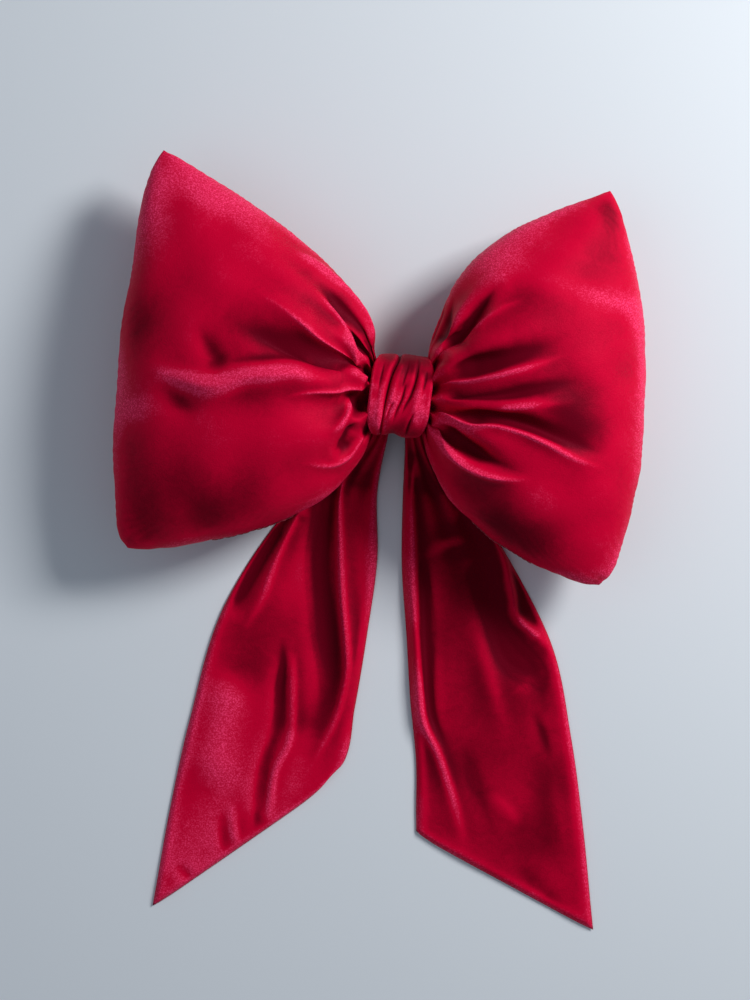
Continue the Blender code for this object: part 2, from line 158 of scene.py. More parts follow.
# %% Two sheets sewn along their rim
def sewn_case(rows, columns, open_start):
    """Point numbers and faces of two grids that share their rim.

    Row 0 is left unshared where open_start is true, as at a bag's mouth. Returns the
    front's and the back's point numbers as (rows, columns) arrays, and the faces.
    """
    front = np.arange(rows * columns).reshape(rows, columns)
    back = np.full_like(front, -1)
    back[:, 0], back[:, -1], back[-1] = front[:, 0], front[:, -1], front[-1]
    if not open_start:
        back[0] = front[0]
    free = back < 0
    back[free] = front.size + np.arange(free.sum())

    def cells(numbers):
        corners = (numbers[:-1, :-1], numbers[1:, :-1], numbers[1:, 1:], numbers[:-1, 1:])
        return np.stack([corner.ravel() for corner in corners], axis=1)

    faces = np.concatenate([cells(front), cells(back)[:, ::-1]])
    return front, back, faces


def case_points(front, back, front_surface, back_surface):
    """One array of points from a front and a back surface over the same grid."""
    points = np.zeros((back.max() + 1, front_surface.shape[-1]))
    points[back.ravel()] = back_surface.reshape(-1, front_surface.shape[-1])
    points[front.ravel()] = front_surface.reshape(-1, front_surface.shape[-1])
    return points


def turned_out(points, faces):
    """Faces turned so that the volume they enclose counts as positive."""
    a, b, c = (points[faces[:, k]] for k in (0, 1, 2))
    volume = np.einsum("ij,ij->i", a, np.cross(b, c)).sum()
    if faces.shape[1] == 4:
        d = points[faces[:, 3]]
        volume += np.einsum("ij,ij->i", a, np.cross(c, d)).sum()
    return faces if volume > 0 else faces[:, ::-1]


small_case = sewn_case(3, 3, open_start=False)
print("two 3 x 3 grids sewn all round:", small_case[1].max() + 1, "points,", len(small_case[2]), "faces")


# %% Making and finishing a mesh
def new_piece(name, points, faces, material):
    """A smooth mesh object that stands at the origin and holds its place in its points."""
    mesh = bpy.data.meshes.new(name)
    faces = faces.tolist() if isinstance(faces, np.ndarray) else faces
    mesh.from_pydata(points.tolist(), [], faces)
    mesh.materials.append(material)
    mesh.polygons.foreach_set("use_smooth", np.ones(len(mesh.polygons), bool))
    piece = bpy.data.objects.new(name, mesh)
    bpy.context.scene.collection.objects.link(piece)
    return piece


def mesh_points(mesh, normals=False):
    """A mesh's points, or its point normals, as an array of rows."""
    source, field = (mesh.vertex_normals, "vector") if normals else (mesh.vertices, "co")
    flat = np.empty(len(source) * 3)
    source.foreach_get(field, flat)
    return flat.reshape(-1, 3)


def apply_modifiers(piece):
    """Replace a piece's mesh with what its modifiers make of it."""
    graph = bpy.context.evaluated_depsgraph_get()
    finished = bpy.data.meshes.new_from_object(piece.evaluated_get(graph))
    piece.modifiers.clear()
    piece.data = finished
    return finished


def subdivide(piece, levels):
    """Round a mesh off with Subdivision Surface, applied."""
    modifier = piece.modifiers.new("rounding", "SUBSURF")
    modifier.levels = modifier.render_levels = levels
    modifier.boundary_smooth = "PRESERVE_CORNERS"
    return apply_modifiers(piece)


# %% [markdown]
# ## Camera, light and floor
#
# The bow lies flat and is seen from straight above, turned a few degrees. Light from
# all round would be easy, but it would wash the folds out. So one soft lamp stands to
# the upper right and fairly low, which gives every fold a lit and a shaded side, and
# a weak fill and a pale sky keep the shaded sides readable.

# %% Camera
VIEW_HEIGHT = 1.30
VIEW_TURN = math.radians(4.0)
VIEW_CENTRE = KNOT[:2] + np.array([-0.0113, -0.0675])
FLOOR_SEEN = 0.660               # length of floor along the frame's height

camera_data = bpy.data.cameras.new("camera")
camera_data.sensor_fit = "VERTICAL"
camera_data.sensor_height = 24.0
camera_data.lens = camera_data.sensor_height * VIEW_HEIGHT / FLOOR_SEEN
camera = bpy.data.objects.new("camera", camera_data)
camera.location = (*VIEW_CENTRE, VIEW_HEIGHT)
camera.rotation_euler = (0.0, 0.0, VIEW_TURN)
bpy.context.scene.collection.objects.link(camera)
bpy.context.scene.camera = camera
print("camera height, m:", VIEW_HEIGHT, "and lens, mm:", round(camera_data.lens, 1))


# %% Lamps and sky
def area_lamp(name, place, size, power, colour):
    """A square lamp that looks at the knot."""
    data = bpy.data.lights.new(name, "AREA")
    data.size, data.energy, data.color = size, power, colour
    lamp = bpy.data.objects.new(name, data)
    lamp.location = place
    lamp.rotation_euler = (Vector(KNOT) - Vector(place)).to_track_quat("-Z", "Y").to_euler()
    bpy.context.scene.collection.objects.link(lamp)


area_lamp("key", (0.95, 0.75, 0.90), 0.45, 22.0, (1.0, 0.97, 0.94))
area_lamp("fill", (-1.0, -0.2, 1.4), 1.4, 2.5, (0.90, 0.95, 1.0))

world = bpy.data.worlds.new("soft_sky")
world.use_nodes = True
sky = world.node_tree.nodes["Background"]
sky.inputs["Color"].default_value = (0.80, 0.88, 1.0, 1.0)
sky.inputs["Strength"].default_value = 0.24
bpy.context.scene.world = world
bpy.context.scene.view_settings.view_transform = "Standard"
print("lamps:", [lamp.name for lamp in bpy.data.lights])


# %% Floor
def plain_material(name, colour, roughness):
    """One colour and one roughness."""
    material = bpy.data.materials.new(name)
    material.use_nodes = True
    shader = material.node_tree.nodes["Principled BSDF"]
    shader.inputs["Base Color"].default_value = (*colour, 1.0)
    shader.inputs["Roughness"].default_value = roughness
    return material


FLOOR_HALF = 3.0
FLOOR_BELOW = 0.0004             # just under the bow, so the two never share a plane
floor = new_piece(
    "floor",
    FLOOR_HALF * np.array([(-1, -1, 0), (1, -1, 0), (1, 1, 0), (-1, 1, 0)], float),
    np.array([(0, 1, 2, 3)]),
    plain_material("pale_floor", (0.66, 0.72, 0.78), 0.9),
)
floor.location.z = -FLOOR_BELOW
print("floor:", 2 * FLOOR_HALF, "m square")

# %% [markdown]
# ## Velvet
#
# Velvet is a forest of short upright fibres. It looks deep where you look down
# between them and pale where you see their sides, at every edge and fold: that is
# what sheen does in the Principled shader. The fibres are also brushed this way and
# that, which leaves light and dark patches, and single tufts catch the light: that is
# painted into the colour as a fine speckle, a painted glint.
#
# The fibres could be made as hair, but there would be millions of them, each too fine
# to see from here, and hair doesn't travel with the mesh. So the pile is a finish.
#
# Where the pile lies open is a property of each piece, so each piece stores it at
# its points as an attribute called nap, and with it painted highlight on crests and
# painted shade in hollows. One shared group turns nap and noise into a colour, a
# roughness and a height.

# %% Node helpers
def link(tree, source, target):
    """Join an output to an input."""
    tree.links.new(source, target)


def noise_node(tree, vector, scale, detail, roughness=0.5, distortion=0.0):
    """Noise of about scale bumps to a metre, as a value from 0 to 1."""
    node = tree.nodes.new("ShaderNodeTexNoise")
    node.inputs["Scale"].default_value = scale
    node.inputs["Detail"].default_value = detail
    node.inputs["Roughness"].default_value = roughness
    node.inputs["Distortion"].default_value = distortion
    link(tree, vector, node.inputs["Vector"])
    return node.outputs["Fac"]


def math_node(tree, operation, *values):
    """One sum over sockets or numbers."""
    node = tree.nodes.new("ShaderNodeMath")
    node.operation = operation
    for socket, value in zip(node.inputs, values):
        if isinstance(value, (int, float)):
            socket.default_value = value
        else:
            link(tree, value, socket)
    return node.outputs[0]


def ramp(tree, value, low, high, out_low=0.0, out_high=1.0):
    """Map a value from low..high to out_low..out_high, smoothly and clamped."""
    node = tree.nodes.new("ShaderNodeMapRange")
    node.interpolation_type = "SMOOTHSTEP"
    for name, number in zip(("From Min", "From Max", "To Min", "To Max"), (low, high, out_low, out_high)):
        node.inputs[name].default_value = number
    link(tree, value, node.inputs["Value"])
    return node.outputs["Result"]


def mix_colour(tree, share, first, second):
    """The first colour where share is 0, and the second where it is 1."""
    node = tree.nodes.new("ShaderNodeMix")
    node.data_type = "RGBA"
    for socket, value in ((node.inputs[0], share), (node.inputs[6], first), (node.inputs[7], second)):
        if isinstance(value, (tuple, int, float)):
            socket.default_value = value
        else:
            link(tree, value, socket)
    return node.outputs[2]


# %% A node group for pile
def pile_group():
    """Nap, silky streaks and tufts, as a colour, a roughness and a height.

    Streaks and tufts make the nap ragged, more so the further it is open. Low nap shows
    the deep colour and higher nap the lit colour, which are painted shade and painted
    highlight where the nap holds painted light. Open nap shows pale pink tufts over it, a
    painted glint.
    """
    group = bpy.data.node_groups.new("velvet_pile", "ShaderNodeTree")
    colour, number = "NodeSocketColor", "NodeSocketFloat"
    for name, kind in (("Deep", colour), ("Lit", colour), ("Tuft", colour), ("Nap And Painted Light", number),
                       ("Tuft Scale", number)):
        group.interface.new_socket(name, in_out="INPUT", socket_type=kind)
    for name, kind in (("Color", colour), ("Roughness", number), ("Height", number)):
        group.interface.new_socket(name, in_out="OUTPUT", socket_type=kind)
    given = group.nodes.new("NodeGroupInput").outputs
    result = group.nodes.new("NodeGroupOutput").inputs
    place = group.nodes.new("ShaderNodeTexCoord").outputs["Object"]
    tufts = noise_node(group, place, 1.0, 2.0, 0.6)
    link(group, given["Tuft Scale"], tufts.node.inputs["Scale"])
    streaks = noise_node(group, place, 110.0, 3.0, 0.65, 1.2)
    uneven = math_node(group, "MULTIPLY_ADD", given["Nap And Painted Light"], 0.30, 0.10)
    both = math_node(group, "ADD", streaks, math_node(group, "MULTIPLY_ADD", tufts, 0.85, -0.925))
    ragged = math_node(group, "MULTIPLY_ADD", both, uneven, given["Nap And Painted Light"])
    lit = ramp(group, ragged, 0.0, 0.62)
    cloth = mix_colour(group, lit, given["Deep"], given["Lit"])
    speckle = ramp(group, tufts, 0.42, 0.70)
    opened = ramp(group, ragged, 0.60, 1.05)
    # painted glint: open nap is mixed towards the pale tuft colour, most on speckles
    painted_glint_share = math_node(group, "MULTIPLY", opened, math_node(group, "MULTIPLY_ADD", speckle, 0.72, 0.20))
    link(group, mix_colour(group, painted_glint_share, cloth, given["Tuft"]), result["Color"])
    rough = math_node(group, "MULTIPLY_ADD", opened, -0.08, 0.56)
    rough = math_node(group, "MULTIPLY_ADD", speckle, -0.10, rough)
    link(group, rough, result["Roughness"])
    link(group, math_node(group, "MULTIPLY_ADD", streaks, 0.6, tufts), result["Height"])
    return group


PILE = pile_group()
print("pile group:", len(PILE.nodes), "nodes")


# %% Velvet material
TUFT_SCALE = 1050.0              # tufts to a metre, about
PILE_HEIGHT = 0.00030


def velvet(name, deep, lit, tuft_glint):
    """Velvet whose pile colour, roughness and bump come from the shared group."""
    material = bpy.data.materials.new(name)
    material.use_nodes = True
    tree = material.node_tree
    shader = tree.nodes["Principled BSDF"]
    pile = tree.nodes.new("ShaderNodeGroup")
    pile.node_tree = PILE
    for socket, colour in (("Deep", deep), ("Lit", lit), ("Tuft", tuft_glint)):
        pile.inputs[socket].default_value = (*colour, 1.0)
    pile.inputs["Tuft Scale"].default_value = TUFT_SCALE
    nap_and_painted_light = tree.nodes.new("ShaderNodeAttribute")
    nap_and_painted_light.attribute_name = "nap_and_painted_light"
    link(tree, nap_and_painted_light.outputs["Fac"], pile.inputs["Nap And Painted Light"])
    link(tree, pile.outputs["Color"], shader.inputs["Base Color"])
    link(tree, pile.outputs["Roughness"], shader.inputs["Roughness"])
    relief = tree.nodes.new("ShaderNodeBump")
    relief.inputs["Strength"].default_value = 0.50
    relief.inputs["Distance"].default_value = PILE_HEIGHT
    link(tree, pile.outputs["Height"], relief.inputs["Height"])
    link(tree, relief.outputs["Normal"], shader.inputs["Normal"])
    shader.inputs["Specular IOR Level"].default_value = 0.12
    shader.inputs["Specular Tint"].default_value = (1.0, 0.10, 0.25, 1.0)
    shader.inputs["Sheen Weight"].default_value = 0.13
    shader.inputs["Sheen Roughness"].default_value = 0.32
    shader.inputs["Sheen Tint"].default_value = (1.0, 0.04, 0.15, 1.0)
    return material


# the deep, lit and tuft colours: through the nap they also give painted shade, painted highlight and painted
# glints
VELVET = velvet("crimson_velvet", (0.110, 0.0002, 0.007), (0.53, 0.0004, 0.028), (0.98, 0.052, 0.185))
print("material:", VELVET.name)

# %% [markdown]
# ## Thread and ribbon
#
# The bow is sewn with thread of its own red, and the strap behind the knot is satin
# ribbon. Their strands could be modelled one by one, but they are a tenth of a
# millimetre wide. So stretched noise stands for them, in colour and in height.

# %% Thread and ribbon
def twisted(name, colour, roughness, scale, bump):
    """A thread or ribbon finish: fine streaks across the bow, in colour and height."""
    material = bpy.data.materials.new(name)
    material.use_nodes = True
    tree = material.node_tree
    shader = tree.nodes["Principled BSDF"]
    place = tree.nodes.new("ShaderNodeTexCoord").outputs["Object"]
    turned = tree.nodes.new("ShaderNodeMapping")
    turned.inputs["Scale"].default_value = (1.0, 3.0, 1.0)
    link(tree, place, turned.inputs["Vector"])
    fibres = noise_node(tree, turned.outputs["Vector"], scale, 3.0, 0.6)
    dark = tuple(0.45 * c for c in colour)
    shade = mix_colour(tree, ramp(tree, fibres, 0.35, 0.65), (*dark, 1.0), (*colour, 1.0))
    link(tree, shade, shader.inputs["Base Color"])
    link(tree, ramp(tree, fibres, 0.3, 0.7, roughness + 0.1, roughness - 0.1), shader.inputs["Roughness"])
    relief = tree.nodes.new("ShaderNodeBump")
    relief.inputs["Strength"].default_value = 0.6
    relief.inputs["Distance"].default_value = bump
    link(tree, fibres, relief.inputs["Height"])
    link(tree, relief.outputs["Normal"], shader.inputs["Normal"])
    shader.inputs["Sheen Weight"].default_value = 0.2
    return material


THREAD = twisted("sewing_thread", (0.40, 0.004, 0.035), 0.55, 1800.0, 0.00008)
RIBBON = twisted("satin_ribbon", (0.55, 0.004, 0.045), 0.32, 900.0, 0.00005)
print("materials:", THREAD.name, "and", RIBBON.name)

# %% [markdown]
# ## The stuffed loops
#
# Each loop is a flat case of two velvet panels, sewn along three edges, stuffed, and
# gathered at its mouth where it goes into the knot. The case is far taller than the
# knot, so at the mouth its cloth stands in pleats that run out into the belly.
#
# It could be sculpted, but a shape like that is hard to draw and easy to let happen.
# The case starts roughly in place as a thin cushion with small pleats. Its flat
# pattern is kept as a second shape, so Blender's Cloth knows how much cloth there
# really is, and a little inner pressure stands in for the filling. The mouth is
# pinned, and the seam is held lightly.

# %% The outline of a loop
NECK_X = 0.0165                  # the mouth is this far out, inside the knot band
NECK_HALF = 0.0190
NECK_LEAVE = 0.004               # the edges' first handles are this far out from the mouth
# Slack is added to the frame's loop, out, up and down, because the cloth draws in when
# it is stuffed. Insets, rise and swell are in metres, and the rest are shares. Front
# and back say where the crests of each panel's pleats stand, from -1 to 1.
LOOPS = {
    "left": {"slack": (0.002, 0.0042, 0.0025), "top_inset": 0.019, "bottom_inset": 0.012,
             "rise": (0.037, 0.014), "swell": (0.009, 0.004),
             "handles": (0.50, 0.58), "steep": (0.50, 0.66), "shoulder": 0.80,
             "front": (-1.0, -0.45, 0.16, 0.48, 0.70, 0.86, 1.0), "back": (-1, -0.5, -0.1, 0.35, 0.7, 1)},
    "right": {"slack": (0.005, 0.0042, 0.0028), "top_inset": 0.037, "bottom_inset": 0.025,
              "rise": (0.026, 0.014), "swell": (-0.001, 0.010),
              "handles": (0.44, 0.52), "steep": (0.74, 0.62), "shoulder": 0.42,
              "front": (-1.0, -0.62, -0.36, -0.08, 0.32, 0.74, 1.0), "back": (-1, -0.5, 0.05, 0.4, 0.75, 1)},
}


def loop_outline(name):
    """The four edges of a loop in (out, up) metres from the knot, as Bezier curves."""
    shape = LOOPS[name]
    reach, up, down = np.array(loop_size(name)) + shape["slack"]
    top = np.array([reach - shape["top_inset"], up])
    bottom = np.array([reach - shape["bottom_inset"], -down])
    swell_low, swell_high = reach + np.array(shape["swell"])
    along_top, along_bottom = np.array(shape["handles"]) * (top[0] - NECK_X)
    steep_top, steep_bottom = shape["steep"]
    neck_top, neck_bottom = (NECK_X, NECK_HALF), (NECK_X, -NECK_HALF)
    return {
        "bottom": (neck_bottom, (NECK_X + NECK_LEAVE, steep_bottom * bottom[1]),
                   bottom + (-along_bottom, shape["rise"][1]), bottom),
        "top": (neck_top, (NECK_X + NECK_LEAVE, steep_top * top[1]),
                top + (-along_top, -shape["rise"][0]), top),
        "neck": (neck_bottom, (NECK_X, -NECK_HALF / 3), (NECK_X, NECK_HALF / 3), neck_top),
        "outer": (bottom, (swell_low, 0.70 * bottom[1]), (swell_high, shape["shoulder"] * top[1]), top),
    }


for name in SIDES:
    rim = loop_outline(name)["outer"]
    print(f"{name} loop, lower and upper corner, mm:", np.round(np.array([rim[0], rim[-1]]) * 1000))


# %% The outline filled in
def filled_outline(edges, rows, columns):
    """Coons patch: opposite edges blended, less the straight blend of the corners."""
    place = {key: bezier(points, even_steps(lambda t, p=points: bezier(p, t), count))
             for (key, points), count in
             zip(edges.items(), (rows, rows, columns, columns))}
    u, s = np.linspace(0, 1, rows)[:, None, None], np.linspace(0, 1, columns)[None, :, None]
    plan = place["bottom"][:, None] * (1 - s) + place["top"][:, None] * s
    for key, share in (("neck", 1 - u), ("outer", u)):
        edge = place[key][None]
        plan = plan + share * (edge - (edge[:, :1] * (1 - s) + edge[:, -1:] * s))
    return plan


# %% The case before it is stuffed
CASE_ROWS, CASE_COLUMNS = 45, 65
PATTERN_LENGTH = 1.12            # the flat case, as a share of the loop's reach
PATTERN_MOUTH = 0.235            # the flat case's height at its mouth
PATTERN_EXTRA = 0.030            # more height at the outer edge than the finished loop
START_BELLY = 0.044
START_NECK = 0.008
BELLY_AT = 0.5                   # the belly is full at this share of the length
BELLY_RISE = 1.3
CROWN_FLAT, CROWN_STEEP = 2.4, 0.6           # how flat its top and how steep its edges are
MOUTH_PLEAT, MOUTH_FADE = 0.0062, 0.14      # depth, and the share of the length it fades over
BELLY_PLEAT, BELLY_FADE = 0.0040, 0.42
DEEPEST_PLEAT = 0.40             # pleats narrower than this share of half the mouth are shallower


def pleat_wave(v, crests):
    """1 at each crest and a trough between two: deeper the further apart they are."""
    crests = np.asarray(crests, float)
    turn = np.interp(v, crests, np.arange(len(crests)))
    gap = np.interp(v, (crests[1:] + crests[:-1]) / 2, np.diff(crests))
    return np.cos(2 * math.pi * turn) * np.minimum(1, gap / DEEPEST_PLEAT)


def unstuffed_case(name):
    """A loop's case: start points, flat pattern, (along, across, panel), faces, seam, mouth.

    The start's half height is a sine rise from the mouth, times (1 - x^a)^b falls to the
    outer edge and to both sides, plus pleats that die out exponentially along the loop.
    """
    rows, columns = CASE_ROWS, CASE_COLUMNS
    shape, (reach, up, down) = LOOPS[name], loop_size(name)
    u, v = np.linspace(0, 1, rows)[:, None], np.linspace(-1, 1, columns)[None, :]
    plan = filled_outline(loop_outline(name), rows, columns)
    rise = np.sin(math.pi / 2 * np.minimum(u / BELLY_AT, 1)) ** BELLY_RISE
    fall = (1 - np.clip((u - BELLY_AT) / (1 - BELLY_AT), 0, 1) ** CROWN_FLAT) ** CROWN_STEEP
    crown = (1 - np.abs(v) ** CROWN_FLAT) ** CROWN_STEEP
    belly = (START_NECK + (START_BELLY - START_NECK) * rise) * fall * crown
    depth = MOUTH_PLEAT * np.exp(-u / MOUTH_FADE) + BELLY_PLEAT * np.exp(-(u / BELLY_FADE) ** 2)
    held = 1 - v ** 4
    x = KNOT[0] + SIDES[name] * plan[..., 0]
    sides = []
    for sign, panel in ((1, "front"), (-1, "back")):
        height = KNOT[2] + sign * (belly + depth * pleat_wave(v, shape[panel]) * held)
        sides.append(np.dstack([x, KNOT[1] + plan[..., 1], height]))
    flat_height = PATTERN_MOUTH + (up + down + PATTERN_EXTRA - PATTERN_MOUTH) * u
    flat = [u * reach * PATTERN_LENGTH + 0 * v, flat_height * v / 2]
    flats = [np.dstack([*flat, np.full((rows, columns), sign * 0.0002)]) for sign in (1, -1)]
    front, back, faces = sewn_case(rows, columns, open_start=True)
    points = case_points(front, back, *sides)
    pattern = case_points(front, back, *flats)
    one = np.ones((rows, columns))
    places = case_points(front, back, *(np.dstack([u * one, v * one, sign * one]) for sign in (1, -1)))
    seam = np.unique(np.concatenate([front[:, 0], front[:, -1], front[-1]]))
    mouth = np.unique(np.concatenate([front[0], back[0]]))
    points[seam, 2] = KNOT[2]
    return points, pattern, places, turned_out(points, faces), seam, mouth


print("flat case, mm high at its mouth:", PATTERN_MOUTH * 1000)

# %% Stuffing by simulation
STUFFING_FRAMES = 34
SEAM_HOLD = 0.10                 # how firmly the seam is held, where 1 is pinned


def stuff(piece, pattern, seam, mouth):
    """Blow the case up with Cloth, from its flat pattern, with its mouth pinned."""
    piece.shape_key_add(name="start")
    flat = piece.shape_key_add(name="flat_pattern")
    flat.data.foreach_set("co", pattern.ravel())
    flat.value = 0.0
    pins = piece.vertex_groups.new(name="pins")
    pins.add([int(i) for i in np.setdiff1d(seam, mouth)], SEAM_HOLD, "REPLACE")
    pins.add([int(i) for i in mouth], 1.0, "REPLACE")
    modifier = piece.modifiers.new("stuffing", "CLOTH")
    cloth = modifier.settings
    cloth.rest_shape_key = flat
    cloth.vertex_group_mass = "pins"
    cloth.quality, cloth.mass, cloth.air_damping = 7, 0.15, 2.0
    cloth.tension_stiffness = cloth.compression_stiffness = 30
    cloth.shear_stiffness, cloth.bending_stiffness = 8, 0.25
    cloth.tension_damping = cloth.compression_damping = 8
    cloth.shear_damping, cloth.bending_damping = 4, 0.5
    cloth.use_pressure, cloth.uniform_pressure_force = True, 5.0
    cloth.effector_weights.gravity = 0.0
    modifier.collision_settings.use_collision = False
    modifier.point_cache.frame_start, modifier.point_cache.frame_end = 1, STUFFING_FRAMES
    for step in range(1, STUFFING_FRAMES + 1):
        bpy.context.scene.frame_set(step)
    graph = bpy.context.evaluated_depsgraph_get()
    stuffed = mesh_points(piece.evaluated_get(graph).to_mesh())
    piece.modifiers.clear()
    piece.shape_key_clear()
    piece.vertex_groups.clear()
    bpy.context.scene.frame_set(1)
    print(f"{piece.name}: stuffed in {STUFFING_FRAMES} steps")
    return stuffed


# %% [markdown]
# ### Folds drawn one by one
#
# Simulation gives believable cloth, but not this bow's own folds, and trying seeds
# until they appear would take for ever. So the few that give it its character are
# pressed in afterwards, as a hand would: each is a stroke along a path from the knot,
# with a height, a width and a sharpness. The same kind of stroke brushes the nap, and
# paints highlight on crests and shade in hollows.

# %% Strokes
def path_line(path, count=40):
    """A smooth line through a path's points, given in mm."""
    path = np.asarray(path, float) / 1000
    station = np.linspace(0, 1, len(path))
    fine = np.linspace(0, 1, count)
    sides = [smooth_curve(np.column_stack([station, path[:, k]]), fine) for k in (0, 1)]
    return np.column_stack(sides)


def stroke_sum(plan, strokes):
    """Sum of strokes at each plan point.

    A stroke is its height times exp(-(distance / width)^sharpness), where the distance
    is to its path, and it fades in and out along shares of the path's length.
    """
    total = np.zeros(plan.shape[:-1])
    for height, width, sharpness, fade_in, fade_out, path in strokes:
        line = path_line(path)
        start, along = line[:-1], np.diff(line, axis=0)
        length2 = (along ** 2).sum(axis=1)
        away = plan[..., None, :] - start
        t = np.clip((away * along).sum(-1) / length2, 0, 1)
        near = np.linalg.norm(away - t[..., None] * along, axis=-1)
        best = near.argmin(axis=-1)[..., None]
        distance = np.take_along_axis(near, best, -1)[..., 0] * 1000
        share = (best[..., 0] + np.take_along_axis(t, best, -1)[..., 0]) / len(start)
        fade = smoothstep(share / max(fade_in, 1e-6)) * smoothstep((1 - share) / max(fade_out, 1e-6))
        total += height * fade * np.exp(-(distance / width) ** sharpness)
    return total


flat_stroke = (1.0, 5.0, 2.0, 0.0, 0.0, ((0, 0), (10, 0), (20, 0)))
print("a stroke on its path and 5 mm away:", stroke_sum(np.array([(0.01, 0), (0.01, 0.005)]), [flat_stroke]))

# %% The loops' folds
# Each stroke: height, width (mm), sharpness, share faded in and out, (out, up) path in mm.
LOOP_FOLDS = {
    "left": (
        (4.5, 3.2, 1.3, 0.15, 0.5, ((19, 27), (25, 43), (34, 57), (46, 69), (63, 81), (82, 91))),
        (-6.0, 4.5, 1.7, 0.25, 0.45, ((23, 20), (28, 31), (36, 44), (46, 57), (60, 70))),
        (4.5, 3.6, 1.3, 0.2, 0.5, ((24, 15), (30, 23), (35, 33), (40, 43), (48, 53), (62, 62))),
        (-2.0, 7.0, 1.8, 0.2, 0.5, ((26, 13), (38, 26), (50, 38), (64, 48))),
        (6.0, 4.5, 1.2, 0.1, 0.6, ((22, 15), (39, 23), (53, 30), (64, 38), (81, 49), (98, 58))),
        (-9.0, 10.0, 1.8, 0.3, 0.6, ((26, 9), (43, 14), (61, 19), (80, 25), (98, 33), (118, 44))),
        (2.5, 2.5, 1.3, 0.1, 0.5, ((21, 7), (29, 11), (38, 15))),
        (7.0, 9.0, 1.7, 0.3, 0.35,
         ((26, 4), (39, 3), (55, 7), (68, 8), (82, 5), (97, 2), (114, -4), (131, -3), (147, 2), (163, 11))),
        (-3.0, 5.0, 1.6, 0.3, 0.5, ((38, 9), (52, 13), (69, 16), (93, 14), (115, 9))),
        (-3.2, 7.0, 1.8, 0.3, 0.6, ((108, 4), (120, 20), (132, 38))),
        (-2.2, 8.0, 1.8, 0.5, 0.5, ((120, -23), (136, -15), (154, -2))),
        (4.0, 2.4, 1.1, 0.1, 0.5, ((21, 3), (34, 2), (42, -1), (57, -4), (72, -8))),
        (-3.5, 4.5, 1.5, 0.4, 0.5, ((21, -13), (25, -9), (30, -5), (37, -2))),
        (3.6, 2.8, 1.2, 0.2, 0.4, ((31, -3), (32, -13), (35, -21), (43, -30))),
        (-5.0, 4.0, 1.5, 0.3, 0.4, ((26, -18), (29, -26), (33, -35), (41, -41))),
        (4.5, 3.2, 1.2, 0.2, 0.5, ((23, -20), (26, -32), (32, -42), (42, -48), (62, -48))),
    ),
    "right": (
        (-5.0, 4.5, 1.5, 0.3, 0.5, ((20, 28), (23, 40), (26, 55), (32, 72))),
        (3.0, 4.0, 1.4, 0.2, 0.5, ((21, 28), (26, 41), (33, 56), (43, 72))),
        (-8.0, 6.5, 1.6, 0.25, 0.45, ((24, 26), (35, 42), (45, 58), (60, 78))),
        (3.5, 4.5, 1.3, 0.2, 0.5, ((22, 22), (31, 32), (44, 45), (58, 56), (77, 65))),
        (-6.0, 8.0, 1.8, 0.3, 0.6, ((25, 16), (47, 21), (69, 28), (105, 42))),
        (4.5, 4.0, 1.3, 0.2, 0.5, ((22, 8), (39, 9), (59, 14), (78, 21), (103, 31))),
        (-5.0, 6.0, 1.7, 0.2, 0.5, ((24, 1), (40, 1), (62, 3), (84, 8), (115, 17))),
        (3.6, 4.5, 1.5, 0.25, 0.5, ((23, -4), (44, -7), (63, -7), (81, -3), (115, 3))),
        (-8.0, 6.0, 1.7, 0.25, 0.5, ((28, -8), (45, -11), (58, -11), (79, -15), (103, -22), (140, -31))),
        (6.0, 3.0, 1.2, 0.15, 0.4, ((20, -9), (32, -14), (45, -18), (60, -17), (76, -20), (93, -26),
                                    (112, -34), (134, -39))),
        (-6.0, 4.5, 1.6, 0.25, 0.5, ((24, -15), (33, -24), (47, -33), (61, -39), (86, -46))),
        (5.0, 2.8, 1.2, 0.15, 0.4, ((21, -13), (27, -26), (38, -38), (50, -45), (67, -49), (86, -48))),
    ),
}
print("fold strokes:", {name: len(strokes) for name, strokes in LOOP_FOLDS.items()})
